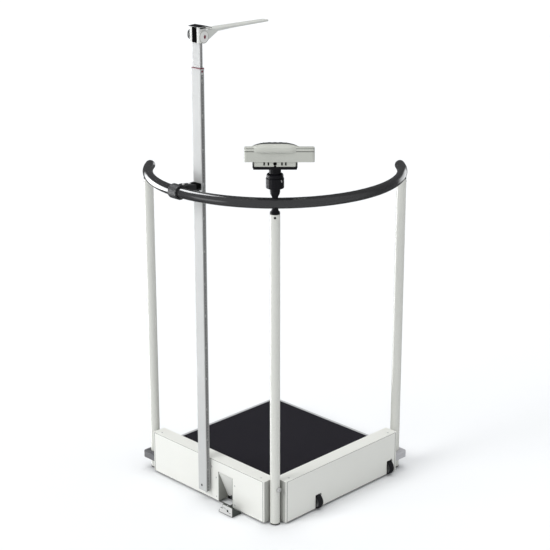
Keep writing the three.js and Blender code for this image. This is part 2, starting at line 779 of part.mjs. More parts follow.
function consoleBoard() {
  const board = block([-52, 52], [24, 82], [12, 13.6]);
  return [[-40, 30], [-12, 34], [22, 62]].reduce(
    (solid, [x, y]) => solid.add(block([x, x + 18], [y, y + 14], [13, 16])),
    board,
  );
}

// ---------------------------------------------------------------- assembly
function platformAssembly() {
  const parts = [
    piece('rubber_mat', rubberMat(), RUBBER),
    piece('deck_tray', deckTray(), STEEL),
    piece('edge_rail_left', edgeRailLeft(), ALUMINIUM),
    piece('edge_rail_back', edgeRailBack(), ALUMINIUM),
    piece('corner_block_left', cornerBlock(), ALUMINIUM),
  ];
  // The right corner is the left one turned over the diagonal through the front post.
  const swap = new THREE.Matrix4().set(0, -1, 0, 0, -1, 0, 0, 0, 0, 0, 1, 0, 0, 0, 0, 1);
  parts.push(piece('corner_block_right', turned(cornerBlock(), swap), ALUMINIUM));
  const { low, high, shift } = FOOT;
  const corners = [[low, low], [high, low], [high, high], [low, high]];
  corners.forEach(([across, y], k) => {
    const x = across - shift;
    const turn = x < 0 ? 0 : 180;
    parts.push(group([x, y, 0], turn,
      piece(`load_cell_${k + 1}`, loadCell(), ALUMINIUM),
      piece(`levelling_foot_${k + 1}`, levellingFoot(), RUBBER)));
  });
  return parts;
}

function leftHousing() {
  const shell = housingShell().subtract(boltHole(-1)).subtract(boltHole(1));
  const holder = group([HOUSING.shift, -HOUSING.outer + halfDepth, 0], 0,
    piece('left_housing', shell, PAINT),
    piece('left_cover', coverPlate([[recessFrom, recessTo, RECESS.top]]), COVER_PAINT),
    piece('recess_plate', recessPlate(), PAINT),
    piece('power_inlet', powerInlet(), BLACK_PLASTIC),
    piece('junction_board', junctionBoard(), BOARD_GREEN));
  return [holder, piece('floor_bracket', floorBracket(), STEEL)];
}

function rightHousing() {
  const axis = [axleLine, WHEEL.height];
  const axleHole = rod(WHEEL.axle + GAP, 'x', [-halfLength - 1, halfLength + 1], axis, 8);
  const shell = housingShell().subtract(boltHole(1)).subtract(axleHole);
  const notches = WHEELS_AT.map((x) => [x - WHEEL.slot / 2, x + WHEEL.slot / 2, WHEEL.slotTop]);
  const axle = rod(WHEEL.axle, 'x', [-halfLength + 1, halfLength - 1], axis, 8);
  const holder = group([HOUSING.outer - halfDepth, -HOUSING.shift, 0], 90,
    piece('right_housing', shell, PAINT),
    piece('right_cover', coverPlate(notches), COVER_PAINT),
    piece('wheel_axle', axle, STEEL));
  const upright = new THREE.Matrix4().makeRotationY(Math.PI / 2);
  WHEELS_AT.forEach((x, k) => {
    const wheel = piece(`wheel_${k + 1}`, turned(castor(), upright), RUBBER);
    wheel.position.set(x, axleLine, WHEEL.height);
    holder.add(wheel);
  });
  return [holder];
}

// Each post's place on the ring, and its bolt: the hole's ends are in post radii.
const STATIONS = [
  { name: 'front', angle: 0, boltAxis: 'x', boltTurn: 0, hole: [-2, 2], bolt: throughBolt },
  { name: 'left', angle: 90, boltAxis: 'x', boltTurn: 180, hole: [0, 2], bolt: innerBolt },
  { name: 'right', angle: -90, boltAxis: 'y', boltTurn: 90, hole: [-2, 0], bolt: innerBolt },
];

function postsAndRail() {
  const parts = [];
  for (const { name, angle, boltAxis, boltTurn, hole, bolt } of STATIONS) {
    const place = stationPoint(angle);
    parts.push(
      group(place, 0,
        piece(`post_${name}`, postTube(boltAxis, hole), POST_PAINT),
        piece(`post_foot_${name}`, postFoot(), RUBBER)),
      group(place, boltTurn, piece(`post_bolt_${name}`, bolt(), STEEL)),
      group(place, 45 - angle, piece(`rail_adapter_${name}`, railAdapter(), BLACK_PLASTIC)),
    );
  }
  parts.push(piece('handrail', handrail(), RAIL_COAT));
  for (const [name, side] of [['left', 1], ['right', -1]]) {
    const [x, y] = stationPoint(side * RAIL.endAngle);
    const outward = -45 - side * (RAIL.endAngle + 90);
    parts.push(group([x, y, RAIL.height], outward, piece(`rail_cap_${name}`, railCap(), BLACK_PLASTIC)));
  }
  return parts;
}

function measuringRod() {
  const outer = tube(ROD.width, ROD.depth, ROD.wall, 2, [ROD.bottom, ROD.top]);
  const sliding = tube(INNER.width, INNER.depth, INNER.wall, 1.5, [INNER.bottom, INNER.top]);
  return [
    group([ROD.x, ROD.y, 0], 0,
      piece('rod_outer', outer, ALUMINIUM),
      piece('rod_inner', sliding, ALUMINIUM),
      piece('rod_collar', rodCollar(), RED_PLASTIC)),
    piece('rod_spacer', rodSpacer(), BLACK_PLASTIC),
    group(stationPoint(CLAMP.angle), 45 - CLAMP.angle,
      piece('rail_clamp_inner', railClampInner(), BLACK_PLASTIC),
      piece('rail_clamp_outer', railClampOuter(), BLACK_PLASTIC)),
    piece('head_body', headBody(), WHITE_PLASTIC),
    piece('head_cap', headCap(), BLACK_PLASTIC),
    piece('release_button', releaseButton(), BUTTON_GREY),
    piece('tongue', tongue(), WHITE_PLASTIC),
  ];
}

function display() {
  const face = new THREE.Group();
  face.applyMatrix4(faceFrame);
  face.add(
    piece('console_face', consoleFace(), GREY_PLASTIC),
    piece('lcd_window', lcdWindow(), LCD_GREEN),
    piece('console_board', consoleBoard(), BOARD_GREEN),
    ...KEYS.xs.map((x, k) => piece(`key_${k + 1}`, faceKey(x), BUTTON_GREY)),
  );
  return group(stationPoint(0), 45,
    piece('display_adapter', displayAdapter(), BLACK_PLASTIC),
    piece('clamp_knob', clampKnob(), BLACK_PLASTIC),
    piece('display_neck', displayNeck(), BLACK_PLASTIC),
    piece('console_case', consoleCase(), GREY_PLASTIC),
    face);
}

const scale = new THREE.Group();
scale.add(...platformAssembly(), ...leftHousing(), ...rightHousing());
scale.add(...postsAndRail(), ...measuringRod(), display());

// The origin lies on the floor, under the middle of the whole object's box.
const box = new THREE.Box3().setFromObject(scale, true);
const middle = box.getCenter(new THREE.Vector3());
scale.position.set(-middle.x, -middle.y, -box.min.z);

export default scale;
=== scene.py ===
import json
import math

import bmesh
import bpy
from mathutils import Matrix, Vector

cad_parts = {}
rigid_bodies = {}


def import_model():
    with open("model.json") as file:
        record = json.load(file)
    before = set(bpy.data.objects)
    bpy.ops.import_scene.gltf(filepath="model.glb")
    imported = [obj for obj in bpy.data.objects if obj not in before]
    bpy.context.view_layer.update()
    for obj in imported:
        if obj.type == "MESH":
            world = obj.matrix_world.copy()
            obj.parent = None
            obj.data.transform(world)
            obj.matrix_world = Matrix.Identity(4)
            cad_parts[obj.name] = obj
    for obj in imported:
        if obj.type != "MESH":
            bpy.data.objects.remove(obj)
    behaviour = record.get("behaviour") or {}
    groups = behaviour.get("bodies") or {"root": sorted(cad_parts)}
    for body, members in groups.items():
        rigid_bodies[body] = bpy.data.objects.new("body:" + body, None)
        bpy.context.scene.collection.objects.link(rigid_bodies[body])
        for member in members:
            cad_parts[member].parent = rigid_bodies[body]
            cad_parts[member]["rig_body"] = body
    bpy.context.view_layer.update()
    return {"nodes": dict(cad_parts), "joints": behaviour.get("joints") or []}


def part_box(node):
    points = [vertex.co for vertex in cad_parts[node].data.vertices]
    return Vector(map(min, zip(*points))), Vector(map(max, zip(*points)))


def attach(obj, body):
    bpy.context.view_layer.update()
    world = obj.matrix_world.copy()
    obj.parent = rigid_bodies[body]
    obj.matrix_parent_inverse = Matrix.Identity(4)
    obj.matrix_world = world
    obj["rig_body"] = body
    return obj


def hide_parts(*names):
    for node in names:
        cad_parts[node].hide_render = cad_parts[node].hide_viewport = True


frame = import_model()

MM = 0.001
X, Y, Z = Vector((1, 0, 0)), Vector((0, 1, 0)), Vector((0, 0, 1))
# a section's own two axes and the axis it is carried along
SECTION_AXES = {"x": (Y, Z, X), "y": (Z, X, Y), "z": (X, Y, Z)}


# ---- places from the frame
def platform_middle():
    corners = [corner for node in ("post_left", "post_right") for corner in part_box(node)]
    middle = sum(corners, Vector()) / len(corners)
    return Vector((middle.x, middle.y, 0))


MIDDLE = platform_middle()
TO_FRAME = Matrix.Translation(MIDDLE) @ Matrix.Scale(MM, 4)
FROM_FRAME = TO_FRAME.inverted()


def node_points(node, matrix=Matrix()):
    """A CAD node's vertices in millimetres, seen from a local frame."""
    change = matrix.inverted() @ FROM_FRAME
    return [change @ vertex.co for vertex in frame["nodes"][node].data.vertices]


def span(node, matrix=Matrix()):
    """(lowest, highest) corner of a CAD node in millimetres, along a local frame's axes."""
    points = node_points(node, matrix)
    low = Vector(min(p[k] for p in points) for k in range(3))
    high = Vector(max(p[k] for p in points) for k in range(3))
    return low, high


def middle_of(node, matrix=Matrix()):
    low, high = span(node, matrix)
    return (low + high) / 2


POST_LOW, POST_HIGH = span("post_front")
POST_RADIUS = (POST_HIGH.x - POST_LOW.x) / 2
RING = middle_of("post_front").xy.length
RAIL_LOW, RAIL_HIGH = span("handrail")
RAIL_RADIUS = (RAIL_HIGH.z - RAIL_LOW.z) / 2
RAIL_Z = (RAIL_HIGH.z + RAIL_LOW.z) / 2


def station(degrees):
    """The frame of a place on the rail's ring: +X to the right seen from outside, +Y inwards."""
    angle = math.radians(-45 - degrees)
    place = Vector((RING * math.cos(angle), RING * math.sin(angle), 0))
    return Matrix.Translation(place) @ Matrix.Rotation(math.radians(45 - degrees), 4, "Z")


FRONT = station(0)
STATIONS = {"front": station(0), "left": station(90), "right": station(-90)}


# ---- materials
def add(tree, kind, inputs, **settings):
    """A new node; each input is a value, or the socket that feeds it."""
    made = tree.nodes.new(kind)
    for name, value in settings.items():
        setattr(made, name, value)
    for key, value in inputs.items():
        if isinstance(value, bpy.types.NodeSocket):
            tree.links.new(value, made.inputs[key])
        else:
            made.inputs[key].default_value = value
    return made


def new_material(name, colour, roughness, fixed={}):
    """A node material, its tree and its shader, with plain values on the shader."""
    material = bpy.data.materials.new(name)
    material.use_nodes = True
    shader = material.node_tree.nodes["Principled BSDF"]
    for key, value in {"Base Color": (*colour, 1), "Roughness": roughness, **fixed}.items():
        shader.inputs[key].default_value = value
    return material, material.node_tree, shader


def on_piece(tree, stretch=(1, 1, 1)):
    """The piece's own coordinates, stretched along an axis where a share is below one."""
    place = add(tree, "ShaderNodeTexCoord", {}).outputs["Object"]
    return add(tree, "ShaderNodeMapping", {"Vector": place, "Scale": stretch}).outputs["Vector"]


def texture(tree, kind, scale, detail=3.0, stretch=(1, 1, 1)):
    """A texture's value over the piece; scale is in features per metre."""
    node, output = kind
    inputs = {"Vector": on_piece(tree, stretch), "Scale": scale, "Detail": detail}
    return add(tree, node, inputs).outputs[output]


def spread(tree, source, low, high):
    """Maps a texture's middle range onto low..high."""
    ends = {"Value": source, "From Min": 0.3, "From Max": 0.7, "To Min": low, "To Max": high}
    return add(tree, "ShaderNodeMapRange", ends).outputs["Result"]


def tinted(tree, source, colour, amount):
    """A colour that a texture makes darker and lighter by a share of itself."""
    darker = [c * (1 - amount) for c in colour]
    lighter = [min(1.0, c * (1 + amount)) for c in colour]
    ends = {0: spread(tree, source, 0, 1), 6: (*darker, 1), 7: (*lighter, 1)}
    return add(tree, "ShaderNodeMix", ends, data_type="RGBA").outputs[2]


def relief(tree, source, depth, strength=1.0):
    """Bump of a depth in metres."""
    inputs = {"Height": source, "Distance": depth, "Strength": strength}
    return add(tree, "ShaderNodeBump", inputs).outputs["Normal"]


NOISE, CELLS = ("ShaderNodeTexNoise", "Fac"), ("ShaderNodeTexVoronoi", "Distance")
SPECULAR, COAT, COAT_ROUGHNESS = "Specular IOR Level", "Coat Weight", "Coat Roughness"


def finish(name, colour, roughness, tone, gloss, bumps, fixed={}):
    """A material from textures: tone is (texture, share of the colour), gloss (texture, how much
    smoother, how much rougher), bumps (texture, depth in metres, strength)."""
    material, tree, shader = new_material(name, colour, roughness, fixed)
    made = {row[0]: texture(tree, *row[0]) for row in (tone, gloss, bumps)}
    smoother, rougher = roughness - gloss[1], roughness + gloss[2]
    tree.links.new(tinted(tree, made[tone[0]], colour, tone[1]), shader.inputs["Base Color"])
    tree.links.new(spread(tree, made[gloss[0]], smoother, rougher), shader.inputs["Roughness"])
    tree.links.new(relief(tree, made[bumps[0]], *bumps[1:]), shader.inputs["Normal"])
    return material


def powder_coat(name, colour, roughness=0.42):
    """Baked powder coat: an orange-peel skin with slow changes of tone."""
    slow, peel = (NOISE, 5.0), (NOISE, 420.0, 2.0)
    return finish(name, colour, roughness, (slow, 0.015), (peel, 0.06, 0.06), (peel, 0.00008, 0.5))


def anodised(name, colour, roughness, along):
    """Extruded aluminium: faint drawing lines along one axis under a satin anodised skin."""
    stretch = tuple(0.02 if axis == along else 1.0 for axis in "xyz")
    cloud, lines = (NOISE, 9.0), (NOISE, 900.0, 3.0, stretch)
    gloss, bumps = (lines, 0.06, 0.08), (lines, 0.00003, 0.5)
    return finish(name, colour, roughness, (cloud, 0.03), gloss, bumps, {"Metallic": 0.12})


def plated_steel(name, colour, roughness):
    """Zinc-plated steel with a fine crystalline mottling."""
    crystals, scratches = (CELLS, 260.0), (NOISE, 1400.0, 3.0, (1, 0.06, 1))
    gloss, bumps = (scratches, 0.08, 0.1), (scratches, 0.00002, 0.4)
    return finish(name, colour, roughness, (crystals, 0.04), gloss, bumps, {"Metallic": 0.7})


def moulded_plastic(name, colour, roughness, grain=1500.0, depth=0.00004, specular=0.5):
    """Injection-moulded plastic with a spark-eroded skin."""
    flow, skin = (NOISE, 14.0), (NOISE, grain, 1.0)
    gloss, bumps = (skin, 0.07, 0.07), (skin, depth, 0.6)
    return finish(name, colour, roughness, (flow, 0.03), gloss, bumps, {SPECULAR: specular})


def pebbled_rubber(name, colour, roughness, cells, depth):
    """Rubber with a pebbled surface and a little dust in it."""
    dust, pebbles = (NOISE, 11.0, 6.0), (CELLS, cells)
    gloss, bumps = (dust, 0.05, 0.05), (pebbles, depth, 0.7)
    return finish(name, colour, roughness, (dust, 0.1), gloss, bumps, {SPECULAR: 0.2})


def gloss_coat(name, colour, roughness):
    """A thick glossy coating with a very slight ripple."""
    haze, ripple = (NOISE, 160.0), (NOISE, 45.0, 1.0)
    gloss, bumps = (haze, 0.04, 0.05), (ripple, 0.0002, 0.12)
    coat = {COAT: 1.0, COAT_ROUGHNESS: 0.05}
    return finish(name, colour, roughness, (haze, 0.06), gloss, bumps, coat)


def display_glass(name, colour):
    """A clear cover over the grey-green field of a liquid-crystal display."""
    material, tree, shader = new_material(name, colour, 0.12, {COAT: 1.0, COAT_ROUGHNESS: 0.03})
    field = texture(tree, NOISE, 30.0)
    tree.links.new(tinted(tree, field, colour, 0.05), shader.inputs["Base Color"])
    return material


def circuit_board(name, colour):
    """Green solder mask with copper tracks showing through as lighter lines."""
    material, tree, shader = new_material(name, colour, 0.4)
    shades = {"Color1": 1.0, "Color2": 0.9, "Mortar": 2.2}
    inputs = {key: (*[min(1.0, c * share) for c in colour], 1) for key, share in shades.items()}
    tracks = add(tree, "ShaderNodeTexBrick", {"Vector": on_piece(tree), "Scale": 40.0, **inputs})
    tree.links.new(tracks.outputs["Color"], shader.inputs["Base Color"])
    tree.links.new(relief(tree, tracks.outputs["Fac"], 0.00005), shader.inputs["Normal"])
    return material


# linear colours, then roughness
WHITE_PAINT = powder_coat("white_paint", (0.78, 0.785, 0.745))
POST_PAINT = powder_coat("post_paint", (0.66, 0.665, 0.625), 0.28)
# painted shade: the recess slope's paint, a touch darker than the housing white for the shade inside the
# recess
RECESS_SHADE_PAINT = powder_coat("recess_painted_shade", (0.74, 0.745, 0.71))
# painted shade: a dark grey standing for shade on the recess cheeks and round the tongue's pivot cover
SHADE_GREY_PAINT = powder_coat("painted_shade_grey", (0.33, 0.335, 0.31))
# painted light and shade: the bracket's face plate light as its lit side, its frame dark as its shaded
# sides; the face grey also serves the clamp screws
BRACKET_FACE = powder_coat("bracket_face", (0.60, 0.60, 0.59))
BRACKET_SHADED = powder_coat("bracket_painted_shade", (0.055, 0.065, 0.058))
SEAM_SHADE = powder_coat("seam_shade", (0.06, 0.06, 0.056), 0.7)
# painted shade: the housing ends beside the front post, a darker grey for the shade the post casts
END_SHADE = powder_coat("end_shade", (0.40, 0.405, 0.38))
ALUMINIUM_X = anodised("aluminium_x", (0.50, 0.51, 0.515), 0.38, "x")
ALUMINIUM_Y = anodised("aluminium_y", (0.50, 0.51, 0.515), 0.38, "y")
# painted light: the two alike corner blocks, one in a dark copy as shade, one in a light copy as lit
CORNER_SHADED = moulded_plastic("corner_painted_shade", (0.095, 0.095, 0.10), 0.45)
CORNER_LIT = moulded_plastic("corner_painted_light", (0.50, 0.50, 0.52), 0.4)
ROD_ALUMINIUM = anodised("rod_aluminium", (0.50, 0.505, 0.50), 0.36, "z")
SCALE_ALUMINIUM = anodised("scale_aluminium", (0.205, 0.207, 0.205), 0.4, "z")
STEEL = plated_steel("steel", (0.52, 0.53, 0.53), 0.3)
BRIGHT_STEEL = plated_steel("bright_steel", (0.78, 0.78, 0.77), 0.25)
MAT_RUBBER = pebbled_rubber("mat_rubber", (0.013, 0.012, 0.016), 0.85, 420.0, 0.0004)
BLACK_RUBBER = pebbled_rubber("black_rubber", (0.014, 0.014, 0.016), 0.5, 900.0, 0.0001)
BLACK_PLASTIC = moulded_plastic("black_plastic", (0.006, 0.006, 0.008), 0.38, specular=0.25)
ROUGH_BLACK = moulded_plastic("rough_black_plastic", (0.035, 0.035, 0.037), 0.5, 260.0, 0.0008)
CLAMP_PLASTIC = moulded_plastic("clamp_plastic", (0.022, 0.022, 0.024), 0.42)
# black for real black parts and joints, and painted shade standing in for gaps, slots, grooves and screw
# sockets
BLACK_AND_SHADE = moulded_plastic("black_and_painted_shade", (0.003, 0.003, 0.003), 0.9, specular=0.03)
RAIL_COAT = gloss_coat("rail_coat", (0.030, 0.030, 0.032), 0.12)
RED_PLASTIC = moulded_plastic("red_plastic", (0.16, 0.006, 0.03), 0.4)
WHITE_PLASTIC = moulded_plastic("white_plastic", (0.76, 0.76, 0.74), 0.42)
TONGUE_PLASTIC = moulded_plastic("tongue_plastic", (0.64, 0.65, 0.62), 0.42)
GREY_PLASTIC = moulded_plastic("grey_plastic", (0.52, 0.53, 0.485), 0.42)
BUTTON_GREY = moulded_plastic("button_grey", (0.068, 0.071, 0.071), 0.4)
# the console's dark foil, and painted shade for the head's side slot
DARK_FOIL_AND_SHADE = moulded_plastic("dark_foil_and_slot_shade", (0.05, 0.052, 0.05), 0.35)
PRINT_INK = moulded_plastic("print_ink", (0.012, 0.012, 0.014), 0.6)
SCALE_INK = moulded_plastic("scale_ink", (0.62, 0.62, 0.60), 0.5)
DISPLAY_FIELD = display_glass("display_field", (0.22, 0.27, 0.19))
BOARD_GREEN = circuit_board("circuit_board", (0.015, 0.09, 0.04))


# ---- mesh helpers
def along(axis):
    """The matrix that stands a section, drawn in its own (u, v), up along an axis."""
    u, v, w = SECTION_AXES[axis]
    return Matrix((u, v, w)).transposed().to_4x4()


def skin(loops, endless=False):
    """A closed skin over loops of points; endless joins the last loop to the first, with no ends."""
    bm = bmesh.new()
    rings = [[bm.verts.new(point) for point in loop] for loop in loops]
    if not endless:
        bm.faces.new(rings[0])
        bm.faces.new(rings[-1])
    for first, second in zip(rings, rings[1:] + rings[:1] if endless else rings[1:]):
        for k in range(len(first)):
            bm.faces.new((first[k - 1], first[k], second[k], second[k - 1]))
    bmesh.ops.recalc_face_normals(bm, faces=bm.faces)
    return bm


def prism(outline, axis, reach):
    """A closed outline, as (u, v) points, carried between two heights along an axis."""
    return moved(skin([[(u, v, height) for u, v in outline] for height in reach]), along(axis))


def block(xs, ys, zs):
    return prism([(xs[0], ys[0]), (xs[1], ys[0]), (xs[1], ys[1]), (xs[0], ys[1])], "z", zs)


def lathe(profile, steps=64, squeeze=None):
    """A solid of revolution about Z from (radius, height) points, closed on itself where it starts
    away from the axis; squeeze(k, angle) scales ring k."""
    bm = bmesh.new()
    rings = []
    for k, (radius, height) in enumerate(profile):
        ring = []
        for step in range(steps if radius else 1):
            angle = 2 * math.pi * step / steps
            reach = radius * (squeeze(k, angle) if squeeze else 1)
            ring.append(bm.verts.new((reach * math.cos(angle), reach * math.sin(angle), height)))
        rings.append(ring)
    hollow = profile[0][0] > 0
    for first, second in zip(rings, rings[1:] + rings[:1] if hollow else rings[1:]):
        for step in range(steps):
            after = step + 1
            corners = [first[step % len(first)], first[after % len(first)]]
            corners += [second[after % len(second)], second[step % len(second)]]
            unique = list(dict.fromkeys(corners))
            if len(unique) > 2:
                bm.faces.new(unique)
    bmesh.ops.recalc_face_normals(bm, faces=bm.faces)
    return bm


def fillet(corner, start, end, steps=4):
    """Points of a rounded corner between two points, as a quadratic curve."""
    points = []
    for k in range(steps + 1):
        t = k / steps
        points.append(tuple(
            (1 - t) ** 2 * a + 2 * t * (1 - t) * c + t * t * b for a, c, b in zip(start, corner, end)
        ))
    return points


def rounded(width, height, radius, middle=(0, 0), steps=6):
    """The points of a rounded rectangle."""
    points = []
    for quarter, (sx, sy) in enumerate(((1, 1), (-1, 1), (-1, -1), (1, -1))):
        centre_x = middle[0] + sx * (width / 2 - radius)
        centre_y = middle[1] + sy * (height / 2 - radius)
        for k in range(steps + 1):
            angle = (quarter + k / steps) * math.pi / 2
            points.append((centre_x + radius * math.cos(angle), centre_y + radius * math.sin(angle)))
    return points


def tube(outer, inner, axis, reach):
    """A hollow section: outer and inner outlines have the same number of points."""
    low, high = reach
    walls = ((outer, low), (outer, high), (inner, high), (inner, low))
    loops = [[(u, v, height) for u, v in outline] for outline, height in walls]
    return moved(skin(loops, endless=True), along(axis))


def soften(bm, width, segments=2, angle=30):
    """Rounds every edge sharper than an angle."""
    bm.normal_update()
    limit = math.radians(angle)
    edges = [e for e in bm.edges if e.is_manifold and e.calc_face_angle(0) > limit]
    bmesh.ops.bevel(
        bm, geom=edges, offset=width, offset_type="OFFSET", segments=segments,
        profile=0.5, affect="EDGES", clamp_overlap=True,
    )
    bmesh.ops.dissolve_degenerate(bm, dist=0.0001, edges=bm.edges)
    return bm


def from_node(node):
    """A CAD node's shape in millimetres, with its flat faces whole again."""
    bm = bmesh.new()
    bm.from_mesh(frame["nodes"][node].data)
    bm.transform(FROM_FRAME)
    bmesh.ops.remove_doubles(bm, verts=bm.verts, dist=0.002)
    bmesh.ops.dissolve_limit(bm, angle_limit=math.radians(0.5), verts=bm.verts, edges=bm.edges)
    return bm


def joined(*shapes):
    """Several closed shapes as one mesh."""
    result = bmesh.new()
    for shape in shapes:
        mesh = bpy.data.meshes.new("part")
        shape.to_mesh(mesh)
        shape.free()
        result.from_mesh(mesh)
        bpy.data.meshes.remove(mesh)
    return result


def moved(bm, matrix):
    bm.transform(matrix)
    return bm


def as_object(name, bm):
    mesh = bpy.data.meshes.new(name)
    bm.to_mesh(mesh)
    bm.free()
    thing = bpy.data.objects.new(name, mesh)
    bpy.context.scene.collection.objects.link(thing)
    return thing


def cut(bm, *cutters):
    """The shape less the cutters."""
    target = as_object("target", bm)
    tools = [as_object("cutter", cutter) for cutter in cutters]
    for tool in tools:
        boolean = target.modifiers.new("cut", "BOOLEAN")
        boolean.operation = "DIFFERENCE"
        boolean.solver = "EXACT"
        boolean.object = tool
    shown = target.evaluated_get(bpy.context.evaluated_depsgraph_get())
    result = bmesh.new()
    result.from_mesh(shown.to_mesh())
    shown.to_mesh_clear()
    for thing in (target, *tools):
        mesh = thing.data
        bpy.data.objects.remove(thing)
        bpy.data.meshes.remove(mesh)
    bmesh.ops.dissolve_limit(result, angle_limit=math.radians(0.5), verts=result.verts, edges=result.edges)
    return result


def piece(name, bm, material, body, replaces=(), sharp=40):
    """A finished piece: drawn in millimetres, shaded smooth up to an angle, riding on a body."""
    bm.transform(TO_FRAME)
    bm.normal_update()
    limit = math.radians(sharp)
    for edge in bm.edges:
        edge.smooth = edge.is_manifold and edge.calc_face_angle(0) < limit
    for face in bm.faces:
        face.smooth = True
    thing = as_object(name, bm)
    thing.data.materials.append(material)
    weighted = thing.modifiers.new("even_shading", "WEIGHTED_NORMAL")
    weighted.keep_sharp = True
    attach(thing, body)
    if replaces:
        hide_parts(*replaces)
    return thing


BODY_OF = {name: thing["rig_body"] for name, thing in frame["nodes"].items()}


def stand_in(node, name, bm, material, sharp=40):
    """A finished piece in place of one CAD node."""
    return piece(name, bm, material, BODY_OF[node], (node,), sharp)


def refine(*rows):
    """CAD nodes kept in shape with rounded edges: (node, piece, edge width, segments, material)."""
    for node, name, width, segments, material in rows:
        stand_in(node, name, soften(from_node(node), width, segments), material)


# ---- fasteners
def facing(place, axis):
    """The frame of a small part that stands on a place along an axis."""
    turn = Z.rotation_difference(Vector(axis)).to_matrix().to_4x4()
    return Matrix.Translation(Vector(place)) @ turn


def screw(name, place, axis, radius, material, height):
    """A button-head screw with a hexagon socket, its head standing on place along an axis."""
    socket = radius * 0.52

    def hexagon(k, angle):
        if k not in (4, 5):
            return 1
        turn = (angle + math.pi / 6) % (math.pi / 3) - math.pi / 6
        return math.cos(math.pi / 6) / math.cos(turn)

    profile = [(0, -1), (radius * 0.96, -1), (radius, height * 0.25), (radius * 0.72, height * 0.88)]
    profile += [(socket, height), (socket, height * 0.2), (0, height * 0.2)]
    head = moved(lathe(profile, 24, hexagon), facing(place, axis))
    piece(name, head, material, "frame")


def painted_shade_cup(name, place, axis, radius, body="frame", stretch=1.0):
    """A sunk screw as painted shade: a dark cup just proud of its face, standing for the shade in its
    socket.
    """
    spot = facing(place, axis) @ Matrix.Diagonal((1, stretch, 1, 1))
    cup = [(0, -1), (radius, -1), (radius, 0.25), (radius * 0.82, 0.35), (radius * 0.6, 0.15), (0, 0.1)]
    piece(name, moved(lathe(cup, 24), spot), BLACK_AND_SHADE, body)


# ---- platform
def platform():
    refine(
        ("rubber_mat", "mat_sheet", 1.0, 3, MAT_RUBBER),
        ("edge_rail_left", "edge_rail_left_profile", 0.7, 2, ALUMINIUM_Y),
        ("edge_rail_back", "edge_rail_back_profile", 0.7, 2, ALUMINIUM_X),
        # painted light: the left corner block in the dark shaded copy, the right in the light lit copy of
        # one plastic
        ("corner_block_left", "corner_block_left_casting", 0.7, 2, CORNER_SHADED),
        ("corner_block_right", "corner_block_right_casting", 0.7, 2, CORNER_LIT),
        ("deck_tray", "deck_tray_folded", 0.5, 2, STEEL),
    )
    for k in range(1, 5):
        refine((f"load_cell_{k}", f"load_cell_{k}_beam", 0.5, 2, ALUMINIUM_X))
        levelling_foot(k)


def levelling_foot(k):
    """A rubber-soled pad with its threaded stud and lock nut."""
    node = f"levelling_foot_{k}"
    low, high = span(node)
    place = Matrix.Translation(((low.x + high.x) / 2, (low.y + high.y) / 2, 0))
    radius = (high.x - low.x) / 2
    sole, pad, pitch, nut_radius = 3.0, 7.0, 1.25, 7.4
    rim = [(0, 0), (radius - 1.5, 0), *fillet((radius, 0), (radius - 1.2, 0), (radius, 1.2))]
    rim += [(radius, sole), (0, sole)]
    upper = [(0, sole), (radius - 0.6, sole), (radius - 0.6, pad - 1), (radius - 2, pad)]
    upper += [(8, pad + 4), (8, pad + 5.5), (0, pad + 5.5)]
    stud = [(0, pad + 5), (4, pad + 5)]
    for turn in range(int((high.z - pad - 6) / pitch)):
        height = pad + 5.5 + turn * pitch
        stud += [(4, height), (3.4, height + pitch / 2)]
    stud += [(3.4, high.z - 0.4), (0, high.z - 0.4)]
    angles = [side * math.pi / 3 for side in range(6)]
    nut = prism([(nut_radius * math.cos(a), nut_radius * math.sin(a)) for a in angles], "z", (22, 30))
    body = BODY_OF[node]
    stand_in(node, f"foot_{k}_sole", moved(lathe(rim, 40), place), BLACK_RUBBER)
    piece(f"foot_{k}_pad", moved(lathe(upper, 40), place), BLACK_PLASTIC, body)
    piece(f"foot_{k}_stud", moved(lathe(stud, 20), place), STEEL, body)
    piece(f"foot_{k}_nut", moved(soften(nut, 0.5), place), STEEL, body)


# ---- side housings
def housings():
    for side in ("left", "right"):
        refine(
            (f"{side}_housing", f"{side}_housing_shell", 1.0, 3, WHITE_PAINT),
            (f"{side}_cover", f"{side}_cover_plate", 0.7, 2, WHITE_PAINT),
        )
        housing_seams(side)
        housing_end(side)
    refine(
        ("power_inlet", "power_inlet_socket", 0.3, 2, BLACK_PLASTIC),
        ("junction_board", "junction_board_parts", 0.2, 2, BOARD_GREEN),
        ("wheel_axle", "wheel_axle_rod", 0.4, 2, STEEL),
    )
    recess()
    housing_screws()


def housing_seams(side):
    """The shaded joints round a cover plate: along its top, at both ends, and the shell's hem below."""
    low, high = span(f"{side}_cover")
    shell_low, shell_high = span(f"{side}_housing")
    wide, proud = 1.5, 0.12

    def strip(run, out, heights):
        """A block along the cover, from one distance out of its face to another."""
        if side == "left":
            return block(run, (low.y - out[1], low.y - out[0]), heights)
        return block((high.x + out[0], high.x + out[1]), run, heights)

    length = 0 if side == "left" else 1
    ends, sunk = (low[length], high[length]), (-0.5, proud)
    joints = [strip((end - wide / 2, end + wide / 2), sunk, (low.z, high.z)) for end in ends]
    joints.append(strip(ends, sunk, (high.z - 0.2, high.z + 0.5)))
    run = (shell_low[length] + 1, shell_high[length] - 1)
    hem = strip(run, (-3, -1.2), (low.z - 1.5, low.z + 1))
    piece(f"{side}_cover_joints", joined(*joints), SEAM_SHADE, "frame")
    piece(f"{side}_cover_hem", hem, SEAM_SHADE, "frame")


def housing_end(side):
    """The housing's end wall beside the front post, painted darker than its long faces as shade from the
    post.
    """
    low, high = span(f"{side}_housing")
    heights = (low.z + 1, high.z - 1.5)
    if side == "left":
        end = block((high.x - 0.1, high.x + 0.3), (low.y + 2, high.y - 1), heights)
    else:
        end = block((low.x + 1, high.x - 2), (low.y - 0.3, low.y + 0.1), heights)
    piece(f"{side}_housing_end", soften(end, 0.1), END_SHADE, "frame")


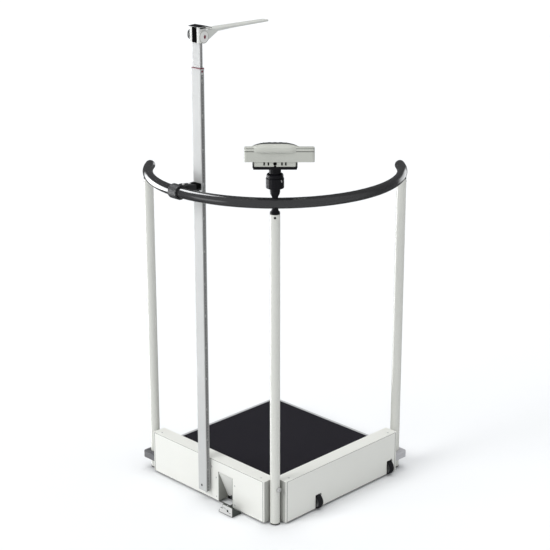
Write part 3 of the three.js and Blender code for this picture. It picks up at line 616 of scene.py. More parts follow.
def recess():
    """The cable recess: a sloping plate painted a touch darker as shade, between cheeks painted as shade,
    over a black strip of painted shade in the gap below.
    """
    low, high = span("recess_plate")
    sheet, foot = 2.0, 13.0
    slope = [(low.y, high.z), (low.y, high.z - sheet), (high.y - sheet, foot)]
    slope += [(high.y, foot), (high.y, foot + 2)]
    plate = prism(slope, "x", (low.x + sheet, high.x - sheet))
    stand_in("recess_plate", "recess_slope", soften(plate, 0.3), RECESS_SHADE_PAINT)
    side = [(low.y, high.z), (low.y, low.z), (high.y, low.z), (high.y, foot + 2)]
    # painted shade: the cheeks in dark grey for the shade between them
    cheeks = [soften(prism(side, "x", (x, x + sheet)), 0.3) for x in (low.x, high.x - sheet)]
    piece("recess_cheeks", joined(*cheeks), SHADE_GREY_PAINT, "frame")
    # painted shade: a black strip standing for the shadow in the gap under the slope
    gap_shade = block((low.x + sheet, high.x - sheet), (high.y - 1.5, high.y - 0.2), (2.5, foot + 1))
    piece("recess_gap_shade", soften(gap_shade, 0.3), BLACK_AND_SHADE, "frame")
    painted_shade_cup("recess_peg", (low.x + 1.5, low.y + 0.2, high.z - 2), -Y, 2.2)


def housing_screws():
    """Two small screws in each housing's top, and four in the left cover beside the recess."""
    low, high = span("left_housing")
    from_end, inwards, beside = 26, 14, 9
    tops = [(x, low.y + inwards, high.z) for x in (low.x + from_end, high.x - from_end)]
    low, high = span("right_housing")
    tops += [(high.x - inwards, y, high.z) for y in (low.y + from_end, high.y - from_end)]
    for k, place in enumerate(tops):
        screw(f"top_screw_{k + 1}", place, Z, 2.8, STEEL, 0.7)
    low, high = span("recess_plate")
    face = span("left_cover")[0].y
    places = [(x, face, z) for x in (low.x - beside, high.x + beside) for z in (18, high.z - 22)]
    for k, place in enumerate(places):
        screw(f"recess_screw_{k + 1}", place, -Y, 2.4, STEEL, 0.5)


def floor_bracket():
    """The lead's bracket: a frame on the floor painted dark as shade for its sides away from the light,
    with a bright stepped plate on its front as the lit face.
    """
    low, high = span("floor_bracket")
    refine(("floor_bracket", "floor_bracket_frame", 0.4, 2, BRACKET_SHADED))
    step, ledge, foot, sheet = high.x - 40, high.z - 14, low.z + 2.2, 0.7
    outline = [(6, low.x + 7), (5.2, low.x), (foot, low.x), (foot, high.x), (high.z + 0.4, high.x)]
    outline += [(high.z + 0.4, step), (ledge, step), (ledge, low.x + 7)]
    plate = prism(outline, "y", (low.y - sheet, low.y + 0.2))
    wave, steps = [], 14
    for k in range(steps + 1):
        t = k / steps
        wave.append((ledge + 4 - 8 * t + 2.4 * math.sin(2 * math.pi * t), step + 1 + 34 * t))
    groove = [(z - 0.8, x) for z, x in wave] + [(z + 0.8, x) for z, x in reversed(wave)]
    plate = cut(soften(plate, 0.25), prism(groove, "y", (low.y - 2, low.y + 1)))
    piece("bracket_plate", plate, BRACKET_FACE, "frame")
    # painted shade: a black strip behind the cut groove for the shade inside it
    strip = prism(groove, "y", (low.y - 0.2, low.y + 0.1))
    piece("bracket_groove_shade", strip, BLACK_AND_SHADE, "frame")
    painted_shade_cup("bracket_hole", (step + 21, low.y - sheet, ledge), -Y, 3.6)


def castors():
    """Each wheel is a grey hub in a black tyre with a rounded tread."""
    for k in (1, 2):
        node = f"wheel_{k}"
        low, high = span(node)
        radius, half = (high.z - low.z) / 2, (high.y - low.y) / 2
        place = Matrix.Translation((low + high) / 2) @ Matrix.Rotation(math.pi / 2, 4, "X")
        bore, hub = 4.3, radius - 6
        tread = [(hub, half - 1.5), (radius - 5, half), (radius - 2.2, half - 1.6)]
        tread += [(radius - 0.8, half - 4.5), (radius, 2.5)]
        core = [(bore, half - 2), (8, half - 2), (9, half - 0.5), (10.5, half - 0.5), (11, half - 2.5)]
        core += [(hub - 0.1, half - 2.5)]
        tyre = moved(lathe(mirrored(tread), 56), place)
        stand_in(node, f"wheel_{k}_tyre", tyre, BLACK_RUBBER)
        middle = moved(lathe(mirrored(core), 40), place)
        piece(f"wheel_{k}_hub", middle, BUTTON_GREY, BODY_OF[node])


def mirrored(side):
    """A profile that is the same above and below its middle, from its upper side."""
    return [(radius, -height) for radius, height in side] + side[::-1]


# ---- posts and handrail
def posts():
    bore = POST_RADIUS - 2
    for name, place in STATIONS.items():
        low, high = span(f"post_{name}", place)
        wall = [(bore, low.z), (POST_RADIUS - 0.6, low.z), (POST_RADIUS, low.z + 0.6)]
        wall += [(POST_RADIUS, high.z - 0.6), (POST_RADIUS - 0.6, high.z), (bore, high.z)]
        stand_in(f"post_{name}", f"post_{name}_tube", moved(lathe(wall, 72), place), POST_PAINT)
        foot = span(f"post_foot_{name}", place)[0].z
        cap = [(0, foot), (POST_RADIUS - 1, foot), (POST_RADIUS + 0.2, foot + 0.8)]
        cap += [(POST_RADIUS + 0.4, low.z - 0.4), (bore - 0.3, low.z - 0.2), (bore - 0.3, low.z + 12)]
        cap += [(0, low.z + 12)]
        stand_in(f"post_foot_{name}", f"post_foot_{name}_cap", moved(lathe(cap, 64), place), BLACK_RUBBER)
        adapter(name, place, high.z)
        spot = place @ Vector((0, -POST_RADIUS, high.z - 8))
        painted_shade_cup(f"post_{name}_screw", spot, place.to_3x3() @ -Y, 3.3)
    post_bolts()


def adapter(name, place, low):
    """The ribbed black cone between a post and the rail."""
    rim, plug = POST_RADIUS - 0.2, POST_RADIUS - 2.3
    profile = [(0, low - 20), (plug, low - 20), (plug, low + 0.3), (rim, low + 0.3)]
    profile += [(rim, low + 2.6), (rim - 1.0, low + 3), (rim - 1.0, low + 3.8), (rim - 0.2, low + 4.2)]
    profile += [(rim - 0.6, low + 6), (rim - 2.4, low + 7), (rim - 2.6, low + 8.2), (rim - 3.6, low + 9)]
    profile += [(rim - 5, low + 13), (8.6, low + 16), (8.3, low + 18), (0, low + 18)]
    node = f"rail_adapter_{name}"
    stand_in(node, node + "_cone", moved(lathe(profile, 56), place), BLACK_PLASTIC)


def post_bolts():
    """The front post's through bolt has a domed head with a washer; the side bolts sit inside."""
    for name in ("left", "right"):
        refine((f"post_bolt_{name}", f"post_bolt_{name}_inside", 0.3, 2, STEEL))
    node = "post_bolt_front"
    low, high = span(node)
    post = middle_of("post_front")
    centre = Vector((post.x, post.y, (low.z + high.z) / 2))
    place = Matrix.Translation(centre) @ Matrix.Rotation(math.pi / 2, 4, "Y")
    back, reach, face = low.x - post.x, high.x - post.x, POST_RADIUS + 0.1
    profile = [(0, back), (4, back), (4, face), (8, face), (8, face + 1), (6.8, face + 1)]
    profile += [(6.6, reach - 2.6), (5.2, reach - 0.8), (3, reach), (2.9, reach - 2.5), (0, reach - 2.5)]
    stand_in(node, node + "_head", moved(lathe(profile, 36), place), BRIGHT_STEEL)


def rail_frame(degrees):
    return station(degrees) @ Matrix.Translation((0, 0, RAIL_Z))


def swept(section, angles):
    """A closed section in each station's (Y, Z) plane, carried round the rail's ring."""
    return skin([[rail_frame(angle) @ Vector((0, u, v)) for u, v in section] for angle in angles])


def circle(radius, steps=48):
    angles = [2 * math.pi * k / steps for k in range(steps)]
    return [(radius * math.cos(angle), radius * math.sin(angle)) for angle in angles]


def rail_end_angle():
    """How far round from the front post the rail's left end lies, in degrees."""
    return max(-45 - math.degrees(math.atan2(p.y, p.x)) for p in node_points("handrail"))


RAIL_INSET = 0.25  # keeps the round tube inside the solid's facets


def handrail():
    """The tube and its two end plugs."""
    end = rail_end_angle()
    steps = 220
    angles = [end - 2 * end * k / steps for k in range(steps + 1)]
    rail = swept(circle(RAIL_RADIUS - RAIL_INSET), angles)
    stand_in("handrail", "handrail_tube", rail, RAIL_COAT, 60)
    for side, sign in (("left", 1), ("right", -1)):
        rail_cap(side, sign, end)


def rail_cap(side, sign, end):
    """A rounded plug in the rail's end with a thumb slot across it."""
    edge, length, steps = RAIL_RADIUS - RAIL_INSET, 11, 12
    profile = [(0, -6), (edge - 2, -6), (edge - 2, 0.2), (edge - 0.5, 0.2), (edge, 0.7), (edge, 2)]
    for k in range(1, steps):
        angle = k / steps * math.pi / 2
        profile.append((edge * math.cos(angle), 2 + length * math.sin(angle)))
    profile.append((0, 2 + length))
    slot = block((-4.5, 4.5), (-1.3, 1.3), (length - 1.5, length + 4))
    place = rail_frame(sign * end) @ Matrix.Rotation(math.radians(-90 * sign), 4, "Y")
    plug = moved(cut(lathe(profile, 56), slot), place)
    stand_in(f"rail_cap_{side}", f"rail_cap_{side}_plug", plug, ROUGH_BLACK)


# ---- measuring rod
def rod_section(width, depth, radius, groove, middle):
    """A rounded rectangle with a shallow groove down each narrow side, as a point list."""
    x, y = middle
    lip = depth / 2 - 2.6
    points = []
    for sx, sy in ((1, 1), (-1, 1), (-1, -1), (1, -1)):
        side_x, side_y = x + sx * width / 2, y + sy * depth / 2
        start, end = (side_x, side_y - sy * radius), (side_x - sx * radius, side_y)
        corner = fillet((side_x, side_y), start, end)
        side = [(side_x - sx * groove, y + sy * (lip - 0.4)), (side_x, y + sy * lip)]
        points += side + corner if sx * sy > 0 else corner[::-1] + side[::-1]
    return points


def measuring_rod():
    """Two telescopic profiles with their scales, the outer one's collar, pointer and screws."""
    low, high = span("rod_outer")
    middle = ((low.x + high.x) / 2, (low.y + high.y) / 2)
    rod_profile("rod_outer", middle, (1.6, 0.5), 2.0, (1.0, 0.2))
    inner_low, inner_high = rod_profile("rod_inner", middle, (1.2, 0.4), 1.5, (0.8, 0.2))
    collar()
    refine(("rod_spacer", "rod_spacer_block", 0.6, 2, BLACK_PLASTIC))
    rod_marks("rod_outer", "frame", low.z + 2, high.z - 12)
    rod_marks("rod_inner", "telescope", inner_low.z + 20, inner_high.z - 12)
    top, half = high.z + 1, 2.6
    pointer = block((high.x - 0.3, high.x + 0.6), (middle[1] - half, middle[1] + half), (top - 6, top))
    piece("rod_pointer", soften(pointer, 0.15), RED_PLASTIC, "frame")
    painted_shade_cup("rod_foot_screw", (middle[0] - 3, low.y, low.z + 17), -Y, 2.9, stretch=1.5)
    painted_shade_cup("rod_side_screw", (high.x + 3, span("left_cover")[0].y + 0.2, 112), -Y, 2.6)


def rod_profile(node, middle, outside, wall, inside):
    """A hollow profile; outside and inside are the corner radius and the groove's depth."""
    low, high = span(node)
    width, depth = high.x - low.x, high.y - low.y
    outline = rod_section(width, depth, *outside, middle)
    hollow = rod_section(width - 2 * wall, depth - 2 * wall, *inside, middle)
    stand_in(node, node + "_profile", tube(outline, hollow, "z", (low.z, high.z)), ROD_ALUMINIUM, 25)
    return low, high


def collar():
    """The outer profile's top fitting: a metal ring under a thin red lip."""
    low, high = span("rod_collar")
    lip, beyond = 2.2, 5
    xs, ys = (low.x - beyond, high.x + beyond), (low.y - beyond, high.y + beyond)
    above = block(xs, ys, (high.z - lip, high.z + beyond))
    below = block(xs, ys, (low.z - beyond, high.z - lip))
    ring, rim = (cut(soften(from_node("rod_collar"), 0.5), part) for part in (above, below))
    stand_in("rod_collar", "rod_collar_ring", ring, ROD_ALUMINIUM)
    piece("rod_collar_lip", rim, RED_PLASTIC, "frame")


def rod_marks(node, body, start, stop):
    """A grey scale strip on the +X side: light lines each half centimetre, numbers each ten."""
    low, high = span(node)
    face, depth = high.x - 0.45, high.y - low.y
    centre = (low.y + high.y) / 2
    ys = (centre - depth * 0.34, centre + depth * 0.34)
    strip = block((face - 0.6, face + 0.15), ys, (start, stop))
    piece(f"{node}_strip", soften(strip, 0.1), SCALE_ALUMINIUM, body)
    lines = []
    edge = centre + depth * 0.28
    for z in range(math.ceil(start / 5) * 5, int(stop), 5):
        reach, thick = (0.36, 0.7) if z % 10 == 0 else (0.2, 0.5)
        line = (z - thick / 2, z + thick / 2)
        lines.append(block((face, face + 0.3), (edge - depth * reach, edge), line))
    piece(f"{node}_lines", joined(*lines), SCALE_INK, body)
    for z in range(math.ceil(start / 100) * 100, int(stop), 100):
        place = Vector((face + 0.2, centre - depth * 0.1, z + 1.5))
        number(f"{node}_number_{z // 10}", str(z // 10), place, depth * 0.42, body)


def number(name, text, place, size, body):
    """A raised printed number standing on a face that looks towards +X, read from below upwards."""
    curve = bpy.data.curves.new(name, "FONT")
    curve.body = text
    curve.size = size
    curve.extrude = 0.12
    curve.align_x = "LEFT"
    curve.align_y = "CENTER"
    source = bpy.data.objects.new(name + "_curve", curve)
    bpy.context.scene.collection.objects.link(source)
    shown = source.evaluated_get(bpy.context.evaluated_depsgraph_get())
    bm = bmesh.new()
    bm.from_mesh(shown.to_mesh())
    shown.to_mesh_clear()
    bpy.data.objects.remove(source)
    turn = Matrix((Z, -Y, X)).transposed().to_4x4()
    piece(name, moved(bm, Matrix.Translation(place) @ turn), SCALE_INK, body)


def rail_clamp():
    """Two halves round the rail: the upper one runs out as an arm to the rod, with two screws."""
    refine(
        ("rail_clamp_inner", "rail_clamp_arm", 1.0, 3, CLAMP_PLASTIC),
        ("rail_clamp_outer", "rail_clamp_jaw", 0.8, 2, ROUGH_BLACK),
    )
    high = span("rail_clamp_inner")[1]
    top = RAIL_Z + 18
    end = block((high.x - 24, high.x + 0.6), (high.y - 17, high.y), (RAIL_Z + 3.4, top + 0.6))
    piece("rail_clamp_block", soften(end, 1.2), BLACK_AND_SHADE, "frame")
    for k, (x, y) in enumerate(((high.x - 33, high.y - 38), (high.x - 26, high.y - 21))):
        screw(f"clamp_screw_{k + 1}", (x, y, top - 1), Z, 4.2, BRACKET_FACE, 2.4)


# ---- measuring head
def measuring_head():
    """The white head with its dark front panel, a dark strip of painted shade in its side slot, its cap,
    button and tongue.
    """
    low, high = span("head_body")
    refine(("head_body", "head_shell", 1.0, 3, WHITE_PLASTIC))
    panel_width, aside = 19.5, 1.4
    middle = ((low.z + high.z) / 2, (low.x + high.x) / 2 + aside)
    outline = rounded(high.z - low.z - 1.4, panel_width, 1.2, middle)
    panel = prism(outline, "y", (low.y - 0.6, low.y + 0.4))
    piece("head_panel", soften(panel, 0.3), BLACK_AND_SHADE, "telescope")
    # painted shade: a dark strip for the shade in the side slot
    slot = block((high.x - 0.2, high.x + 1.2), (low.y + 4, high.y - 4), (high.z - 5.5, high.z - 1.5))
    piece("head_side_slot_shade", soften(slot, 0.3), DARK_FOIL_AND_SHADE, "telescope")
    refine(("head_cap", "head_cap_arch", 0.7, 2, BLACK_PLASTIC))
    release_button()
    tongue()


def release_button():
    """A domed disc on a stem that stops short of its bore's bottom, to leave room for a press."""
    low, high = span("release_button")
    centre = (low + high) / 2
    radius = (high.z - low.z) / 2
    stem, skirt, top, end = high.x - 13, high.x - 17.8, -low.x, 2 - high.x
    profile = [(0, end), (2.8, end), (3.8, end + 1), (3.8, -stem - 0.3), (radius, -stem), (radius, -skirt)]
    profile += fillet((radius, top - 1), (radius, -skirt), (radius - 5, top - 0.6), 5)[1:]
    profile += [(radius - 9, top - 0.15), (0, top)]
    place = Matrix.Translation((0, centre.y, centre.z)) @ Matrix.Rotation(-math.pi / 2, 4, "Y")
    stand_in("release_button", "release_button_dome", moved(lathe(profile, 48), place), BUTTON_GREY)


def tongue():
    """The folding tongue with its pivot cover in a dark ring of painted shade, and the red mark on it."""
    edge = span("tongue")[1].x
    stand_in("tongue", "tongue_plate", soften(from_node("tongue"), 0.5), TONGUE_PLASTIC, 30)
    turn = Matrix.Rotation(math.pi / 2, 4, "Y")
    place = Matrix.Translation((edge, PIVOT.y, PIVOT.z)) @ turn
    cover = [(0, -1), (16, -1), (16, 0.1), (15.4, 0.7), (9, 1.0), (8.6, 0.8), (0, 0.8)]
    piece("pivot_cover", moved(lathe(cover, 56), place), WHITE_PLASTIC, "tongue")
    # painted shade: a dark ring round the pivot cover for the shadow at its edge
    ring = [(16.1, -0.5), (17.2, -0.5), (17.2, 0.25), (16.1, 0.25)]
    piece("pivot_shade_ring", moved(lathe(ring, 56), place), SHADE_GREY_PAINT, "tongue")
    mark = [(0, 0), (3.6, 0), (3.6, 1.2), (2.9, 1.7), (0, 1.9)]
    spot = Matrix.Translation((edge, PIVOT.y + 2, PIVOT.z)) @ turn @ Matrix.Diagonal((1.5, 1, 1, 1))
    piece("pivot_mark", moved(lathe(mark, 28), spot), RED_PLASTIC, "tongue")


HINGE = next(joint for joint in frame["joints"] if joint["name"] == "tongue_fold")
PIVOT = FROM_FRAME @ Vector(HINGE["pos_m"])


# ---- display
NECK_RADIUS = 16.8


def display_post():
    """The cone adapter, the clamp knob and the neck."""
    low, high = span("clamp_knob", FRONT)
    top = RAIL_Z + RAIL_RADIUS
    cone = [(0, top - 3), (8.2, top - 3), (8.3, top + 1), (9.4, top + 4), (11.6, top + 8)]
    cone += [(13.4, top + 12.5), (14.4, top + 17), (14.6, low.z - 1)]
    cone += [(NECK_RADIUS, low.z - 1), (NECK_RADIUS, low.z + 20), (0, low.z + 20)]
    stand_in("display_adapter", "display_adapter_cone", moved(lathe(cone, 56), FRONT), BLACK_PLASTIC)
    clamp_knob(low, high)
    neck()


def clamp_knob(low, high):
    """A knob with grip ribs below a narrower ring, and a slanting white mark."""
    radius = (high.x - low.x) / 2
    bore, ring, step = NECK_RADIUS + 0.6, radius - 2, high.z - 13
    profile = [(bore, low.z), (radius - 2.5, low.z), (radius - 0.5, low.z + 1), (radius, low.z + 2.5)]
    profile += [(radius, step - 1), (radius - 0.8, step - 0.1), (ring - 1.5, step), (ring - 1.5, step + 2)]
    profile += [(ring, step + 3), (ring, high.z - 5), (ring - 1, high.z - 2.2), (ring - 4, high.z)]
    profile.append((bore, high.z))

    def grip(k, angle):
        return 1 - 0.012 * (math.cos(18 * angle) > 0.55) if k in (3, 4) else 1

    knob = moved(lathe(profile, 144, grip), FRONT)
    stand_in("clamp_knob", "clamp_knob_grip", knob, BLACK_PLASTIC)
    angle = math.radians(-45)
    spot = FRONT @ Vector((radius * math.cos(angle) - 0.3, radius * math.sin(angle) + 0.3, step - 5.5))
    outward = FRONT.to_3x3() @ Vector((math.cos(angle), math.sin(angle), 0))
    mark = moved(block((-0.9, 0.9), (-3.6, 3.6), (-0.6, 0.7)), Matrix.Rotation(math.radians(30), 4, "Z"))
    turn = Matrix((Z.cross(outward), Z, outward)).transposed().to_4x4()
    mark = moved(soften(mark, 0.3), Matrix.Translation(spot) @ turn)
    piece("knob_mark", mark, WHITE_PLASTIC, "clamp_knob")


def neck():
    """The swivelling neck: a stem that flares into the plate under the case."""
    low, high = span("display_neck", FRONT)
    bottom, flare, radius = low.z + 21, high.z - 4.5, NECK_RADIUS
    stem = [(0, low.z), (12, low.z), (12, bottom), (radius, bottom), (radius, high.z - 12)]
    stem += fillet((radius, flare), (radius, high.z - 9), (radius + 3, flare), 4)[1:]
    stem.append((0, flare))
    middle = ((high.x + low.x) / 2, (high.y + low.y) / 2)
    plate = prism(rounded(high.x - low.x, high.y - low.y, 5, middle), "z", (high.z - 5, high.z))
    shape = moved(joined(lathe(stem, 56), soften(plate, 0.8, 3)), FRONT)
    stand_in("display_neck", "display_neck_plate", shape, BLACK_PLASTIC)


# the console: the face's tilt, and the height of the joint between its shells at the back edge
CASE_LOW, CASE_HIGH = span("console_case", FRONT)
TILT = math.radians(12)
SEAM = 1145.7
FACE = FRONT @ Matrix.Translation((0, CASE_LOW.y, SEAM)) @ Matrix.Rotation(-TILT, 4, "X")
FACE_LENGTH = (CASE_HIGH.y - CASE_LOW.y) / math.cos(TILT)
# the dome over the wings: its oval, the heights of its parts, and the shares of its half width
# where its level top ends and its rolled edge starts
DOME = {"middle": 50, "half": (69, 58), "power": 4.2, "base": -2, "waist": 4, "top": 24.5}
DOME |= {"flat": 0.3, "roll": 0.95}
WING_TOP = 12.6
FOIL_HALF = (61, 36)


def on_console(name, shape, place, material, replaces=()):
    piece(name, moved(shape, place), material, "console", replaces)


def console_case():
    """The rear shell, refined from the solid's own shape, with its vents and holes as painted shade in
    dark slots and cups, and a black hem.
    """
    refine(
        ("console_case", "console_rear_shell", 0.9, 3, GREY_PLASTIC),
        ("console_board", "console_board_parts", 0.2, 2, BOARD_GREEN),
    )
    low, high = span("display_neck", FRONT)
    bottom, back = CASE_LOW.z, low.y
    depth = (back - 0.3, back + 1)
    # painted shade: dark blocks on the back face for the shade inside the vent slots
    slots = [block((x - 2, x + 2), depth, (bottom + 7, bottom + 16.3)) for x in (-29.5, -18, 19, 29.5)]
    vents = joined(*[soften(slot, 0.3) for slot in slots])
    on_console("case_vent_shades", vents, FRONT, BLACK_AND_SHADE)
    outward = FRONT.to_3x3() @ -Y
    for k, (radius, z) in enumerate(((5.0, bottom + 12.0), (3.2, bottom + 3.8))):
        painted_shade_cup(f"case_hole_{k + 1}", FRONT @ Vector((0, back, z)), outward, radius, "console")
    width, depth = high.x - low.x, high.y - low.y
    middle = ((high.x + low.x) / 2, (high.y + low.y) / 2)
    hem = prism(rounded(width + 0.6, depth + 0.6, 4, middle), "z", (bottom - 1, bottom + 3.2))
    on_console("case_hem", soften(hem, 0.5), FRONT, BLACK_PLASTIC)
    ends = []
    for x in (middle[0] - width / 2, middle[0] + width / 2):
        end = block((x - 1.2, x + 1.2), (back - 0.3, back + 8), (bottom, bottom + 15.5))
        ends.append(soften(end, 0.5))
    on_console("case_corners", joined(*ends), FRONT, BLACK_PLASTIC)


def face_outline(inset):
    """The face shell's outline, drawn in by an inset all round."""
    width = CASE_HIGH.x - CASE_LOW.x - 2 * inset
    middle = ((CASE_HIGH.x + CASE_LOW.x) / 2, FACE_LENGTH / 2)
    return rounded(width, FACE_LENGTH - 2 * inset, 8 - inset, middle)


def console_face():
    """The front shell: wings in two layers over a dark joint, and a broad dome with a dark foil."""
    wings = joined(
        soften(prism(face_outline(0), "z", (1.6, 8.8)), 0.6),
        soften(prism(face_outline(0.2), "z", (9.6, WING_TOP)), 0.6),
    )
    on_console("console_wings", wings, FACE, GREY_PLASTIC, ("console_face",))
    joint = prism(face_outline(1.4), "z", (-0.5, 10))
    on_console("console_joint", joint, FACE, BLACK_AND_SHADE)
    keys = [span(f"key_{k}", FACE) for k in (1, 2, 3)]
    low, high = span("lcd_window", FACE)
    gap, above = 0.3, 9
    xs, ys = (low.x - gap, high.x + gap), (low.y - gap, high.y + gap)

    def with_openings(shape):
        pocket = block(xs, ys, (low.z - gap, high.z + above))
        return cut(shape, pocket, *[key_hole(*key, above) for key in keys])

    on_console("console_dome", with_openings(dome_shape()), FACE, GREY_PLASTIC)
    on_console("console_foil", with_openings(foil_shape(0.35)), FACE, DARK_FOIL_AND_SHADE)
    display_window(low, high)
    for k, (key_low, key_high) in enumerate(keys):
        face_key(k + 1, key_low, key_high)


def key_hole(low, high, above):
    """The cutter for a key's pocket, with room below the key for its press."""
    radius, bottom, top = (high.x - low.x) / 2 + 0.4, low.z - 1.8, high.z + above
    centre = Matrix.Translation(((low.x + high.x) / 2, (low.y + high.y) / 2, 0))
    return moved(lathe([(0, bottom), (radius, bottom), (radius, top), (0, top)], 32), centre)


def face_key(k, low, high):
    """A dished round key with a raised sign: minus, a dot, plus."""
    radius, x, y = (high.x - low.x) / 2, (low.x + high.x) / 2, (low.y + high.y) / 2
    place = FACE @ Matrix.Translation((x, y, 0))
    top = crown(x, y) + 0.9
    profile = [(0, low.z), (radius, low.z), (radius, top - 0.8), (radius - 0.6, top)]
    profile += [(radius - 1.6, top - 0.1), (0, top - 0.6)]
    node, level = f"key_{k}", (top - 0.7, top - 0.1)
    stand_in(node, node + "_cap", moved(lathe(profile, 36), place), BUTTON_GREY)
    if k == 2:
        sign = lathe([(0, level[0]), (1.1, level[0]), (1.1, level[1]), (0, level[1])], 20)
    else:
        sign = block((-2, 2), (-0.35, 0.35), level)
    if k == 3:
        sign = joined(sign, block((-0.35, 0.35), (-2, 2), level))
    piece(f"{node}_sign", moved(sign, place), SCALE_INK, node)


def display_window(low, high):
    """The display's cover and the bars of the figures on it: a plain 00.0."""
    top = DOME["top"] + 0.2
    pane = soften(block((low.x, high.x), (low.y, high.y), (low.z, top)), 0.3)
    stand_in("lcd_window", "lcd_pane", moved(pane, FACE), DISPLAY_FIELD)
    height = (high.y - low.y) * 0.62
    width = height * 0.52
    level = (top - 0.1, top + 0.15)
    bottom = (low.y + high.y) / 2 - height / 2
    bars = []
    for column in (-1.6, -0.4, 0.8):
        bars += figure_bars(column * width * 1.25, bottom, width, height, level)
    dot, half = 1.9 * 0.4 * width, 0.7
    bars.append(block((dot - half, dot + half), (bottom - half, bottom + half), level))
    on_console("lcd_figures", joined(*bars), FACE, PRINT_INK)


def figure_bars(left, bottom, width, height, level):
    """The six bars of a zero."""
    half_thick, gap, half = 0.75, 0.35, height / 2
    bars = []
    for x in (left, left + width):
        for start in (bottom, bottom + half):
            reach = (start + gap + half_thick, start + half - gap)
            bars.append(block((x - half_thick, x + half_thick), reach, level))
    for y in (bottom, bottom + height):
        reach = (left + gap + half_thick, left + width - gap - half_thick)
        bars.append(block(reach, (y - half_thick, y + half_thick), level))
    return bars


def oval(half_x, half_y, steps=120):
    """A squared ellipse round the dome's middle."""
    points = []
    for k in range(steps):
        angle = 2 * math.pi * k / steps
        c, s = math.cos(angle), math.sin(angle)
        x = half_x * math.copysign(abs(c) ** (2 / DOME["power"]), c)
        y = DOME["middle"] + half_y * math.copysign(abs(s) ** (2 / DOME["power"]), s)
        points.append((x, y))
    return points


def crown(x, y):
    """The dome's height over a point: level in the middle, falling to the wings at its edge."""
    half_x, half_y = DOME["half"]
    power = DOME["power"]
    share = (abs(x / half_x) ** power + abs((y - DOME["middle"]) / half_y) ** power) ** (1 / power)
    fall = max(0.0, (share - DOME["flat"]) / (1 - DOME["flat"]))
    return DOME["top"] - (DOME["top"] - WING_TOP) * fall ** 2


def dome_shape():
    """A broad low dome: a tucked lower lip, a rolled side and a crowned top."""
    half_x, half_y = DOME["half"]
    base, waist, roll = DOME["base"], DOME["waist"], DOME["roll"]
    shoulder = crown(half_x * roll, DOME["middle"])
    tuck, steps = 5.0, 8
    loops = []
    for k in range(steps):
        turn = k / steps * math.pi / 2
        inset = tuck * (1 - math.sin(turn))
        height = base + (waist - base) * (1 - math.cos(turn))
        loops.append([(x, y, height) for x, y in oval(half_x - inset, half_y - inset)])
    for k in range(steps):
        turn = k / steps * math.pi / 2
        share = 1 - (1 - roll) * (1 - math.cos(turn))
        height = waist + (shoulder - waist) * math.sin(turn)
        loops.append([(x, y, height) for x, y in oval(half_x * share, half_y * share)])
    for k in range(14):
        share = roll * (1 - k / 14)
        loops.append([(x, y, crown(x, y)) for x, y in oval(half_x * share, half_y * share)])
    return skin(loops)


def foil_shape(thickness):
    """The dark foil laid over the dome's crown."""
    steps = 14
    edge = [(x, y, crown(x, y)) for x, y in oval(*FOIL_HALF)]
    loops = [[(x, y, z - thickness) for x, y, z in edge]]
    for k in range(steps):
        share = 1 - k / steps
        outline = oval(FOIL_HALF[0] * share, FOIL_HALF[1] * share)
        loops.append([(x, y, crown(x, y) + thickness) for x, y in outline])
    return skin(loops)


# ---- studio
CAMERA = {"lens": 95.58, "distance": 4.2893, "height": 2.0989, "pitch": 17.427, "shift": -0.0564}


def camera():
    data = bpy.data.cameras.new("camera")
    data.lens = CAMERA["lens"]
    data.shift_y = CAMERA["shift"]
    thing = bpy.data.objects.new("camera", data)
    bpy.context.scene.collection.objects.link(thing)
    aside = CAMERA["distance"] / math.sqrt(2)
    thing.location = MIDDLE + Vector((aside, -aside, CAMERA["height"]))
    thing.rotation_euler = (math.radians(90 - CAMERA["pitch"]), 0, math.radians(45))
    bpy.context.scene.camera = thing


def floor():
    """A wide plain floor, left out of reflections."""
    radius, thick = 9000, 6
    bm = lathe([(0, -thick), (radius, -thick), (radius, 0), (0, 0)], 96)
    bm.transform(TO_FRAME)
    thing = as_object("floor", bm)
    material = new_material("floor_white", (0.86, 0.87, 0.88), 0.9, {SPECULAR: 0.0})[0]
    thing.data.materials.append(material)
    thing.visible_glossy = False


def soft_sun(name, towards, right, up, strength, spread_degrees):
    """A wide, even light from a direction given as seen from the camera, left out of reflections."""
    data = bpy.data.lights.new(name, "SUN")
    data.energy = strength
    data.angle = math.radians(spread_degrees)
    thing = bpy.data.objects.new(name, data)
    bpy.context.scene.collection.objects.link(thing)
    thing.rotation_euler = as_seen(towards, right, up).to_track_quat("Z", "Y").to_euler()
    thing.visible_glossy = False


def as_seen(towards, right, up):
    """A direction given as seen from the camera: towards it, to its right, and up."""
    half = math.sqrt(0.5)
    return Vector((half * (towards + right), half * (right - towards), up))


def between(tree, direction, start, full):
    """0 to 1 as a world ray turns towards a direction: from start to full, as cosines."""
    place = add(tree, "ShaderNodeTexCoord", {}).outputs["Generated"]
    dot = add(tree, "ShaderNodeVectorMath", {0: place, 1: direction}, operation="DOT_PRODUCT")
    ends = {"Value": dot.outputs["Value"], "From Min": start, "From Max": full}
    return add(tree, "ShaderNodeMapRange", ends, interpolation_type="SMOOTHSTEP").outputs["Result"]


def maths(tree, operation, first, second):
    return add(tree, "ShaderNodeMath", {0: first, 1: second}, operation=operation).outputs["Value"]


def panel(tree, sides, level):
    """A bright wall panel seen only in reflections, bounded by one ramp for each side."""
    product = level
    for direction, start, full in sides:
        product = maths(tree, "MULTIPLY", product, between(tree, direction, start, full))
    return product


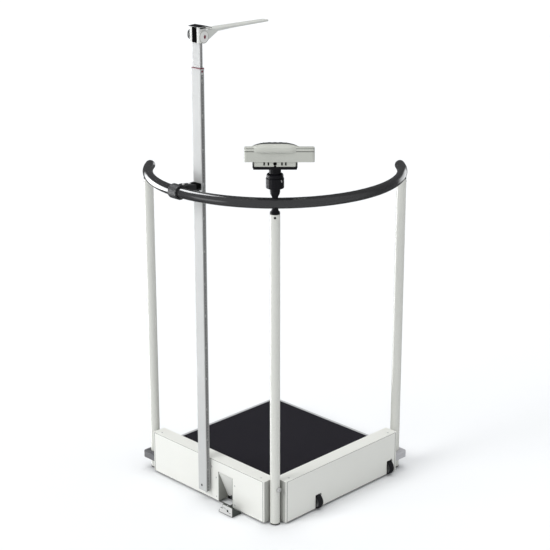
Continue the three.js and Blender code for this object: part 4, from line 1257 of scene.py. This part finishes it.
def studio_world():
    """White for the camera, a dim even fill, and in reflections dark walls with bright panels."""
    world = bpy.data.worlds.new("studio")
    bpy.context.scene.world = world
    world.use_nodes = True
    tree = world.node_tree
    background = tree.nodes["Background"]
    background.inputs["Color"].default_value = (0.97, 0.985, 1.0, 1)
    walls = WALL_LEVEL
    for sides, level in PANELS:
        walls = maths(tree, "ADD", walls, panel(tree, sides, level))
    ray = add(tree, "ShaderNodeLightPath", {}).outputs
    seen = add(tree, "ShaderNodeMix", {0: ray["Is Glossy Ray"], 2: SKY_FILL, 3: walls}).outputs[0]
    seen = add(tree, "ShaderNodeMix", {0: ray["Is Camera Ray"], 2: seen, 3: BACKDROP_LEVEL}).outputs[0]
    tree.links.new(seen, background.inputs["Strength"])


BACKDROP_LEVEL = 1.1
SKY_FILL = 0.42
WALL_LEVEL = 0.08
LEFT, RIGHT, BEHIND, UP = as_seen(0, -1, 0), as_seen(0, 1, 0), as_seen(-1, 0, 0), as_seen(0, 0, 1)
FRONT_SIDE = as_seen(1, 0, 0)
# each panel: its bounding ramps, as (direction, cosine where it starts, where it is full), and its level
PANELS = (
    (((BEHIND, 0.05, 0.15), (LEFT, 0.42, 0.62), (UP, -0.5, -0.38), (-UP, -0.25, -0.12)), 3.0),
    (((BEHIND, 0.05, 0.15), (LEFT, 0.6, 0.8), (UP, -0.5, -0.38), (-UP, -0.25, -0.12)), 5.0),
    (((FRONT_SIDE, 0.2, 0.35), (LEFT, 0.6, 0.74), (UP, -0.5, -0.35), (-UP, -0.1, 0.0)), 1.1),
    (((BEHIND, 0.05, 0.2), (LEFT, 0.3, 0.42), (UP, 0.64, 0.72)), 8.0),
    (((RIGHT, 0.3, 0.42), (BEHIND, 0.6, 0.75), (UP, -0.35, -0.2), (-UP, -0.3, -0.12)), 1.3),
    (((FRONT_SIDE, -0.2, 0.3),), 0.25),
)


def lights():
    soft_sun("key", 0.45, -0.75, 0.6, 1.6, 30)
    soft_sun("top", -0.15, 0.0, 1.0, 1.36, 50)
    soft_sun("fill", 0.6, 1.0, 0.5, 0.42, 60)
    studio_world()


platform()
housings()
floor_bracket()
castors()
posts()
handrail()
measuring_rod()
rail_clamp()
measuring_head()
display_post()
console_case()
console_face()
camera()
floor()
lights()
bpy.context.scene.view_settings.view_transform = "Standard"
